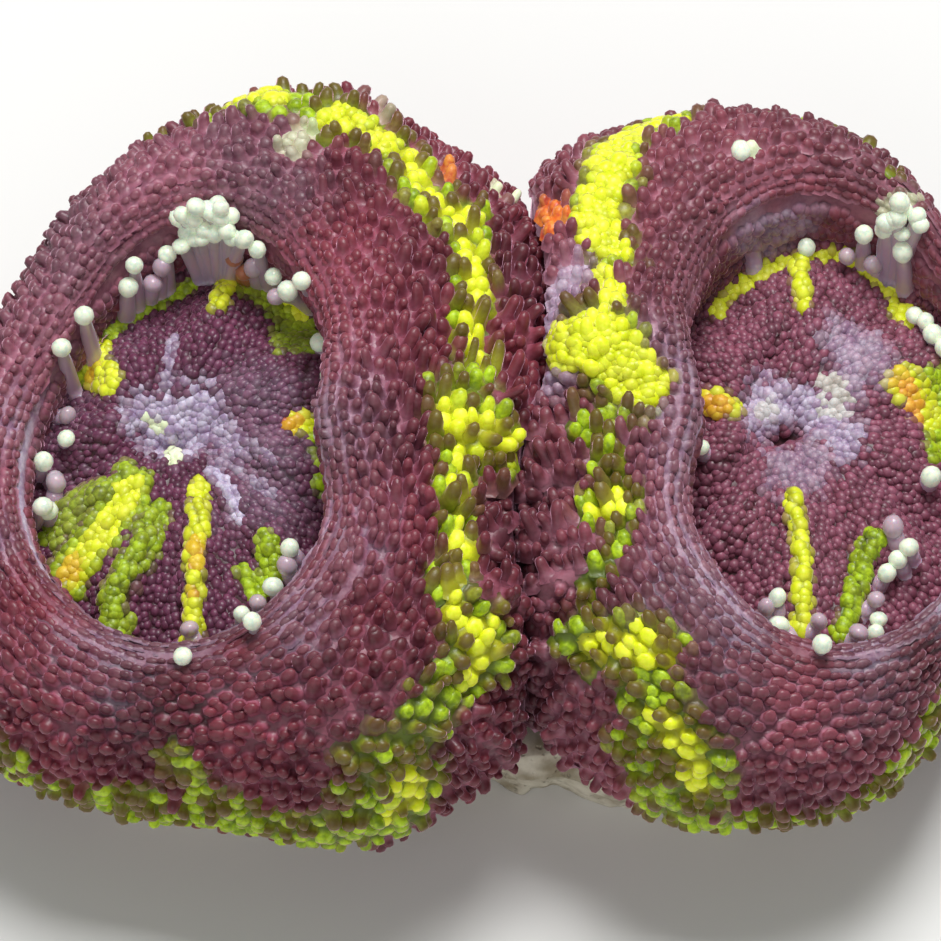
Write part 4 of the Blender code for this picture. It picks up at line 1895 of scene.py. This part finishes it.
def wide_polyp() -> Polyp:
    """The wide polyp, on the left.

    Returns:
        The polyp.
    """
    form = PolypForm(
        seating=Seating.in_frame("left_polyp", 28.91, (0.4796, 0.4629)),
        side=-1,
        mouth=Ring((1.6, 1.1, 0.7, 1.1, 1.6, 1.1, 0.7, 1.1), 5.2, 0.1, 0.1, (-0.9, 1.6)),
        pillow=Ring((3.2, 4.4, 4.4, 3.6, 3.0, 3.7, 4.9, 4.4), 5.7, 0.5, 0.7, (-0.3, 0.6)),
        margin=Ring((5.0, 7.3, 7.9, 6.0, 5.7, 6.6, 8.1, 7.2), 4.9, 0.7, 0.6),
        lip=Ring((4.4, 6.2, 8.8, 6.5, 6.2, 6.7, 7.6, 6.2), 7.8, 1.9, 0.4),
        crest=Ring((6.2, 8.3, 10.5, 7.7, 7.9, 8.4, 9.2, 8.7), 8.8, 2.0, 0.8),
        girth=Ring((14.0, 16.0, 13.7, 9.8, 10.3, 11.8, 11.7, 14.5), 3.6, 0.8, 0.5),
        swellings=(
            Swelling((9.6, 0.1), 1.5, 0.8),
            Swelling((9.6, -6.9), 1.4, 0.6),
            Swelling((6.9, -9.9), 1.9, 0.7),
            Swelling((5.2, -10.8), 2.4, 0.5),
            Swelling((5.3, 12.8), 1.8, 0.9),
            Swelling((2.5, 13.1), 1.5, 0.7),
            Swelling((11.5, 5.4), 0.8, 0.5),
            Swelling((11.3, 3.6), 0.9, 0.5),
        ),
        folds=(
            Fold(((219, 2.7), (220, 2.05), (222, 1.7), (220, 1.4)), 0.75, 0.5),
            Fold(((246, 2.7), (241, 2.35), (243, 2.1), (248, 1.75)), 0.5, 0.4),
            Fold(((270, 2.6), (275, 1.85), (280, 1.65), (288, 1.45)), 0.36, 0.4),
            Fold(((190, 2.6), (196, 2.1)), 0.5, 0.35),
            Fold(((83, 2.9), (81, 2.35)), 0.4, 0.35),
            Fold(((124, 3.0), (131, 2.35)), 0.6, 0.35),
            Fold(((311, 1.96), (302, 2.3)), 0.5, 0.3),
        ),
        lobes=9,
        seed=11,
    )
    pale, leaf, lemon, ember, milk = Pigment
    upper_band = ((68, 5.73), (60, 5.79), (52, 5.75), (46, 5.66), (39, 5.75))
    middle_band = ((36, 5.69), (32, 5.66), (27, 5.63), (22, 5.58), (16, 5.6), (11, 5.66))
    lower_band = ((350, 5.51), (344, 5.51), (337, 5.51), (331, 5.58), (325, 5.58), (322, 5.69))
    low_clump = ((322, 5.8), (322, 6.0), (317, 6.02), (314, 6.0), (309, 6.1), (303, 6.2))
    foot_clump = ((300, 6.2), (302, 6.45), (304, 6.75), (300, 6.85), (297, 6.5))
    front_hem = ((292, 6.86), (287, 6.94), (281, 6.85), (275, 6.7), (271, 6.5), (268, 6.25))
    left_hem = ((263, 6.95), (256, 6.95), (249, 7.2), (244, 7.1), (239, 6.95), (236, 6.7), (228, 6.6))
    strokes = (
        Stroke(leaf, ((86, 6.0), (78, 5.9), (72, 5.85)), 0.82),
        Stroke(lemon, ((84, 6.0), (78, 5.9)), 0.47),
        Stroke(leaf, upper_band, 0.9, raggedness=0.6),
        Stroke(lemon, upper_band, 0.5, raggedness=0.65),
        Stroke(leaf, middle_band, 0.82, raggedness=0.6),
        Stroke(lemon, middle_band, 0.46, raggedness=0.7),
        Stroke(leaf, ((2, 5.52), (-3, 5.52), (-5, 5.8), (-8, 5.52)), 1.07),
        Stroke(lemon, ((-2, 5.48), (-4, 5.57), (-5, 5.8)), 0.62),
        Stroke(leaf, lower_band, 0.73),
        Stroke(lemon, lower_band, 0.23),
        Stroke(leaf, low_clump, 0.99),
        Stroke(lemon, low_clump[:3], 0.47),
        Stroke(leaf, foot_clump, 1.16),
        Stroke(lemon, foot_clump[1:4], 0.55),
        Stroke(leaf, front_hem, 0.86, 0.9),
        Stroke(leaf, left_hem, 0.95, 0.95),
        Stroke(leaf, ((300, 7.25), (285, 7.35), (270, 7.2), (255, 7.4), (238, 7.4), (224, 7.1)), 1.1),
        Stroke(leaf, ((215, 7.0), (203, 7.2), (190, 7.1)), 0.69, 0.9),
        Stroke(lemon, ((168, 6.9), (158, 6.8)), 0.55),
        Stroke(leaf, ((175, 7.0), (165, 6.9), (150, 6.9), (138, 7.2)), 0.77),
        Stroke(leaf, ((122, 7.0), (110, 6.7), (100, 6.8)), 0.77),
        Stroke(leaf, ((92, 7.2), (80, 7.0), (66, 7.1)), 0.69),
        Stroke(leaf, ((97, 5.85),), 0.39),
        Stroke(leaf, ((91, 5.95),), 0.39),
        Stroke(milk, ((73, 5.42), (72, 5.55)), 0.6, 0.6),
        Stroke(milk, ((65, 6.1), (62, 6.05)), 0.4, 0.3),
        Stroke(milk, ((44, 6.25), (43, 6.4)), 0.5),
        Stroke(ember, ((48.5, 5.93),), 0.4, 0.8),
        Stroke(lemon, ((124, 3.0), (129, 2.7), (131, 2.35)), 0.55, raggedness=0.2),
        Stroke(ember, ((130, 2.75),), 0.4, 0.5),
        Stroke(lemon, ((83, 2.9), (81, 2.35)), 0.3, raggedness=0.25),
        Stroke(leaf, ((133, 3.0), (121, 2.97), (110, 3.05), (98, 2.97), (88, 3.05)), 0.3, 0.9),
        Stroke(leaf, ((80, 3.05), (70, 2.9), (62, 2.75), (54, 2.4)), 0.8, 0.75),
        Stroke(lemon, ((66, 3.0), (60, 2.85)), 0.3),
        Stroke(lemon, ((19, 2.15), (20, 2.6)), 0.4, raggedness=0.25),
        Stroke(ember, ((18, 2.05), (20, 2.2)), 0.3, 0.6),
        Stroke(leaf, ((13, 2.5), (4, 2.6), (-6, 2.6)), 0.42),
        Stroke(leaf, ((220, 1.45), (222, 1.7), (220, 2.05), (219, 2.6)), 0.8, 0.9),
        Stroke(lemon, ((221, 1.5), (222, 1.7), (220, 2.05), (219, 2.6)), 0.5, raggedness=0.25),
        Stroke(ember, ((219, 2.5), (218, 2.7)), 0.3, 0.5),
        Stroke(leaf, ((250, 1.5), (248, 1.75), (243, 2.1), (241, 2.35), (246, 2.6)), 0.5, 0.9),
        Stroke(leaf, ((200, 2.7), (193, 2.45), (194, 2.15)), 0.55, 0.7),
        Stroke(lemon, ((297, 1.3), (288, 1.45), (280, 1.65), (275, 1.85), (270, 2.5)), 0.3),
        Stroke(ember, ((279, 1.68), (276, 1.82)), 0.2, 0.5),
        Stroke(ember, ((273, 2.05),), 0.2, 0.5),
        Stroke(leaf, ((311, 1.96), (302, 2.2)), 0.42),
        Stroke(leaf, ((295, 2.0), (296, 2.2)), 0.36),
        Stroke(pale, ((134, 1.25), (120, 0.8), (60, 0.3), (50, 1.1)), 0.85, 0.85, 0.9),
        Stroke(pale, ((15, 1.1), (-6, 1.35)), 0.6, 0.7),
        Stroke(pale, ((30, 1.6), (0, 1.8), (-30, 1.7)), 1.7, 0.12),
        Stroke(pale, ((324, 1.22), (318, 1.45), (308, 1.65)), 0.25),
        Stroke(pale, ((345, 1.0), (337, 1.4), (331, 1.85)), 0.25, 0.5, 0.7),
        Stroke(pale, ((10, 1.1), (2, 1.5), (-3, 1.9)), 0.25, 0.45, 0.7),
        Stroke(pale, ((104, 1.2), (101, 1.7), (99, 2.2)), 0.2, 0.6, 0.5),
        # A wide faint lilac wash along the far left of the crest and the mantle beyond: partly haze,
        # partly painted light that lifts the shade there.
        Stroke(pale, ((165, 4.6), (130, 5.0), (100, 5.0), (80, 4.9)), 3.0, 0.1),
        Stroke(milk, ((136, 1.1), (125, 0.85)), 0.25),
        Stroke(milk, ((271, 0.81), (276, 1.0)), 0.28),
    )
    tentacles = (
        TentacleGroup(((139, 4.45), (128, 4.3), (112, 3.8), (108, 4.0), (99, 3.87)), 5),
        TentacleGroup(((104, 3.6), (101, 3.68)), 2, milk=0.1),
        TentacleGroup(((94, 4.2), (88, 4.32), (80, 4.25)), 16, 0.7, 0.1, 0.35),
        TentacleGroup(((93, 4.05), (86, 4.0), (78, 4.05)), 13, 0.7, 0.1, 0.35),
        TentacleGroup(((80, 3.7), (77, 3.5)), 2, 0.5, spread=0.3, milk=0.1, stained=True),
        TentacleGroup(((72, 3.96), (68, 3.72), (60, 3.76), (53, 4.2)), 4),
        TentacleGroup(((75, 3.6), (64, 3.6)), 2, milk=0.15),
        TentacleGroup(((45, 2.45), (36, 2.4), (31, 2.4), (11, 2.45)), 4, 0.6),
        TentacleGroup(((160, 2.5), (172, 3.6), (191, 3.8), (193, 2.6)), 4),
        TentacleGroup(((150, 3.3), (176, 2.67), (185, 2.6)), 3, milk=0.2),
        TentacleGroup(((316, 2.15), (303, 2.25), (286, 2.29)), 3, 0.7),
        TentacleGroup(((310, 2.2), (293, 2.26), (272, 2.3)), 3, 0.6, milk=0.15),
        TentacleGroup(((288, 4.48), (268, 4.57)), 2),
    )
    return Polyp(
        "wide_polyp", "left_polyp", "wine_flesh", form, strokes, tentacles, granular=(58, 100)
    )


def narrow_polyp() -> Polyp:
    """The narrow polyp, on the right.

    Returns:
        The polyp.
    """
    form = PolypForm(
        seating=Seating.in_frame("right_polyp", 27.6, (0.5358, 0.4852)),
        side=1,
        mouth=Ring((1.3, 1.5, 0.9, 0.9, 1.3, 1.5, 0.9, 0.9), 5.3, -0.1, 0.1, (-0.8, 1.2)),
        pillow=Ring((2.9, 4.3, 4.6, 3.9, 2.8, 3.6, 4.8, 3.8), 5.7, -0.4, 0.5, (-0.2, 0.4)),
        margin=Ring((4.7, 7.1, 8.3, 6.6, 4.4, 6.2, 8.2, 6.4), 4.9, -0.6, 0.5),
        lip=Ring((5.4, 7.6, 9.3, 6.2, 4.1, 6.1, 8.1, 7.0), 7.4, -1.8, 0.5),
        crest=Ring((6.6, 8.1, 10.9, 8.3, 5.7, 8.0, 9.3, 7.4), 8.3, -1.9, 0.9),
        girth=Ring((8.2, 9.0, 13.0, 15.1, 13.0, 13.2, 12.3, 8.0), 3.4, -0.8, 0.5),
        swellings=(
            Swelling((-7.1, 2.5), 1.7, 1.0),
            Swelling((-7.4, 9.0), 1.4, 0.7),
            Swelling((-6.2, -8.0), 1.7, 0.6),
            Swelling((-4.3, -10.8), 1.7, 0.6),
            Swelling((-8.3, 7.0), 0.9, 0.5),
            Swelling((-8.8, 5.4), 0.9, 0.5),
            Swelling((-8.4, 2.0), 0.9, 0.4),
        ),
        folds=(
            Fold(((92, 2.3), (96, 1.9), (110, 1.6), (136, 1.4)), 0.45, -0.5),
            Fold(((266, 1.45), (267, 1.9), (266, 2.6)), 0.36, 0.4),
            Fold(((303, 2.0), (284, 2.3), (278, 2.6)), 0.36, 0.35),
            Fold(((92, 2.95), (91, 2.3)), 0.36, 0.35),
            Fold(((154, 2.5), (156, 1.9)), 0.4, 0.3),
            Fold(((206, 6.0), (210, 5.75), (213, 5.52)), 0.36, 0.35),
            Fold(((210, 6.18), (215, 5.81), (218, 5.6)), 0.36, 0.4),
            Fold(((217, 6.52), (222, 6.1), (226, 5.9)), 0.36, 0.35),
        ),
        lobes=8,
        seed=23,
    )
    pale, leaf, lemon, ember, milk = Pigment
    upper_band = ((112, 6.0), (121, 5.83), (128, 5.6), (134, 5.49), (138, 5.38), (141, 5.26))
    foot_clump = ((238, 5.9), (243, 6.05), (249, 6.2), (252, 6.6), (248, 6.85), (241, 6.5))
    front_hem = ((258, 7.0), (267, 7.25), (276, 7.19), (281, 6.95), (286, 6.77), (296, 6.5))
    strokes = (
        Stroke(leaf, upper_band, 0.95, 0.9),
        Stroke(lemon, upper_band, 0.62),
        Stroke(lemon, ((137, 5.45), (140, 5.35)), 0.74, raggedness=0.3),
        Stroke(ember, ((139, 5.85), (140, 5.7), (142, 5.75)), 0.55, raggedness=0.3),
        Stroke(lemon, ((149, 5.3), (153, 5.18)), 0.47),
        Stroke(lemon, ((167, 5.5), (165, 5.3), (171, 5.22), (176, 5.08)), 0.9, raggedness=0.25),
        Stroke(leaf, ((160, 5.3), (172, 5.25), (182, 5.25)), 1.16, 0.8),
        Stroke(leaf, ((187, 5.46), (193, 5.32), (200, 5.35)), 0.56),
        Stroke(leaf, ((207, 5.2), (208, 5.45)), 0.69),
        Stroke(lemon, ((207, 5.25), (208, 5.4)), 0.39),
        Stroke(leaf, ((210, 5.2), (216, 5.3), (219, 5.55), (223, 5.75)), 0.47),
        Stroke(leaf, ((226, 5.9), (231, 5.75), (236, 5.6)), 1.16),
        Stroke(lemon, ((228, 5.85), (233, 5.65), (237, 5.58)), 0.74),
        Stroke(leaf, foot_clump, 1.07),
        Stroke(lemon, foot_clump[1:4], 0.47),
        Stroke(leaf, front_hem, 0.73, 0.95),
        Stroke(leaf, ((246, 7.3), (258, 7.5), (272, 7.6), (286, 7.3), (298, 7.0)), 0.9),
        Stroke(leaf, ((304, 6.5), (316, 6.8), (328, 6.8)), 0.69, 0.9),
        Stroke(leaf, ((342, 6.7), (352, 6.9), (364, 6.8)), 0.69, 0.9),
        Stroke(leaf, ((18, 7.0), (30, 6.8), (42, 7.0)), 0.77),
        Stroke(lemon, ((27, 6.8), (32, 6.8)), 0.47),
        Stroke(leaf, ((58, 6.9), (70, 7.1), (84, 6.8)), 0.69),
        Stroke(leaf, ((96, 5.95), (90, 5.98), (84, 5.95), (79, 5.85)), 0.43),
        Stroke(leaf, ((73, 5.3),), 0.34),
        Stroke(milk, ((71, 4.45), (69, 4.7)), 0.5, 0.5),
        Stroke(pale, ((174, 5.65), (160, 5.6), (149, 5.42)), 0.85, 0.6),
        Stroke(pale, ((181, 5.1), (186, 5.0)), 0.5, 0.5),
        Stroke(pale, ((95, 3.6), (100, 3.5), (106, 3.85)), 1.0, 0.4),
        Stroke(milk, ((102, 4.92),), 0.2),
        Stroke(lemon, ((119, 2.75), (110, 2.85), (92, 2.98), (78, 3.1), (67, 2.95)), 0.24, 0.9),
        Stroke(lemon, ((92, 2.95), (92, 2.6), (91, 2.3)), 0.27, raggedness=0.2),
        Stroke(lemon, ((153, 2.45), (154, 2.1), (154, 1.8)), 0.42),
        Stroke(ember, ((154, 2.3), (156, 1.9)), 0.3, 0.65),
        Stroke(lemon, ((153, 1.6), (154, 1.8)), 0.24),
        Stroke(lemon, ((63, 2.75), (59, 2.75)), 0.4),
        Stroke(leaf, ((37, 2.5), (25, 2.65), (12, 2.75)), 0.6),
        Stroke(lemon, ((37, 2.15), (32, 2.3), (24, 2.5)), 0.6),
        Stroke(ember, ((38, 2.1), (33, 2.2), (26, 2.3)), 0.36, 0.7),
        Stroke(lemon, ((266, 1.45), (267, 1.9), (266, 2.5)), 0.3, raggedness=0.15),
        Stroke(leaf, ((303, 2.0), (294, 2.05), (284, 2.3), (278, 2.5)), 0.34),
        Stroke(pale, ((140, 1.15), (121, 1.2), (41, 0.84), (15, 1.06), (-2, 1.35)), 0.85, 0.75, 0.9),
        Stroke(pale, ((264, 1.15), (290, 1.25), (320, 1.1)), 0.85, 0.38, 0.9),
        Stroke(pale, ((40, 1.3), (62, 1.7), (66, 1.91)), 0.7, 0.5, 0.9),
        Stroke(milk, ((60, 1.41), (45, 1.32), (30, 1.15)), 0.36, 0.35, 1.4),
        Stroke(milk, ((142, 1.14), (122, 1.1)), 0.22, 0.3, 1.4),
        Stroke(pale, ((74, 2.01), (64, 2.02), (55, 1.91)), 0.8, 0.4, 0.9),
    )
    tentacles = (
        TentacleGroup(((104, 4.88), (91, 3.15), (76, 3.8), (64, 3.99)), 4),
        TentacleGroup(((80, 3.3), (72, 3.4)), 2, milk=0.15),
        TentacleGroup(((72, 4.2), (69, 4.55), (65, 4.6)), 10, 0.7, 0.08, 0.4),
        TentacleGroup(((56, 2.7), (50, 2.65), (46, 2.6), (38, 2.8)), 5),
        TentacleGroup(((183, 2.3), (352, 2.5)), 2, 0.6),
        TentacleGroup(((259, 2.3), (264, 2.45), (269, 4.66)), 3, 0.65),
        TentacleGroup(((286, 2.6), (289, 2.5), (297, 2.2), (308, 2.3), (313, 2.3)), 5, 0.65),
        TentacleGroup(((256, 2.4), (268, 2.4), (280, 2.5), (287, 2.3), (312, 2.1)), 5, 0.6, milk=0.15),
    )
    return Polyp(
        "narrow_polyp", "right_polyp", "plum_flesh", form, strokes, tentacles, granular=(100, 190)
    )


def main() -> None:
    """Builds the coral in order, and the studio round it."""
    logging.basicConfig(level=logging.INFO, format="%(name)s %(message)s")
    effects = FleshEffects()
    beads = BeadFinish().material()
    # Each flesh finish's first colour is the painted shade of the hollows.
    wine_flesh = FleshFinish(
        "wine_flesh", srgb(60, 14, 24), srgb(148, 78, 96), srgb(116, 46, 58), 0.02, 6000.0
    )
    # The disc finishes' tips are lighter than their net: painted light on the granules' tops.
    wine_disc = FleshFinish(
        "wine_disc", srgb(52, 16, 32), srgb(84, 38, 58), srgb(106, 52, 80), 0.01, 7000.0
    )
    plum_flesh = FleshFinish(
        "plum_flesh", srgb(68, 20, 32), srgb(158, 98, 114), srgb(126, 62, 74), 0.02, 6000.0
    )
    plum_disc = FleshFinish(
        "plum_disc", srgb(62, 18, 30), srgb(108, 54, 70), srgb(136, 76, 96), 0.01, 7000.0
    )
    wine = Finishes(wine_flesh.material(effects), wine_disc.material(effects), beads)
    plum = Finishes(plum_flesh.material(effects), plum_disc.material(effects), beads)
    wide_polyp().build(wine)
    narrow_polyp().build(plum)
    Skeleton().build(StoneFinish().material())
    Studio().build()
    bpy.context.scene.view_settings.view_transform = "Standard"


if __name__ == "__main__":
    main()
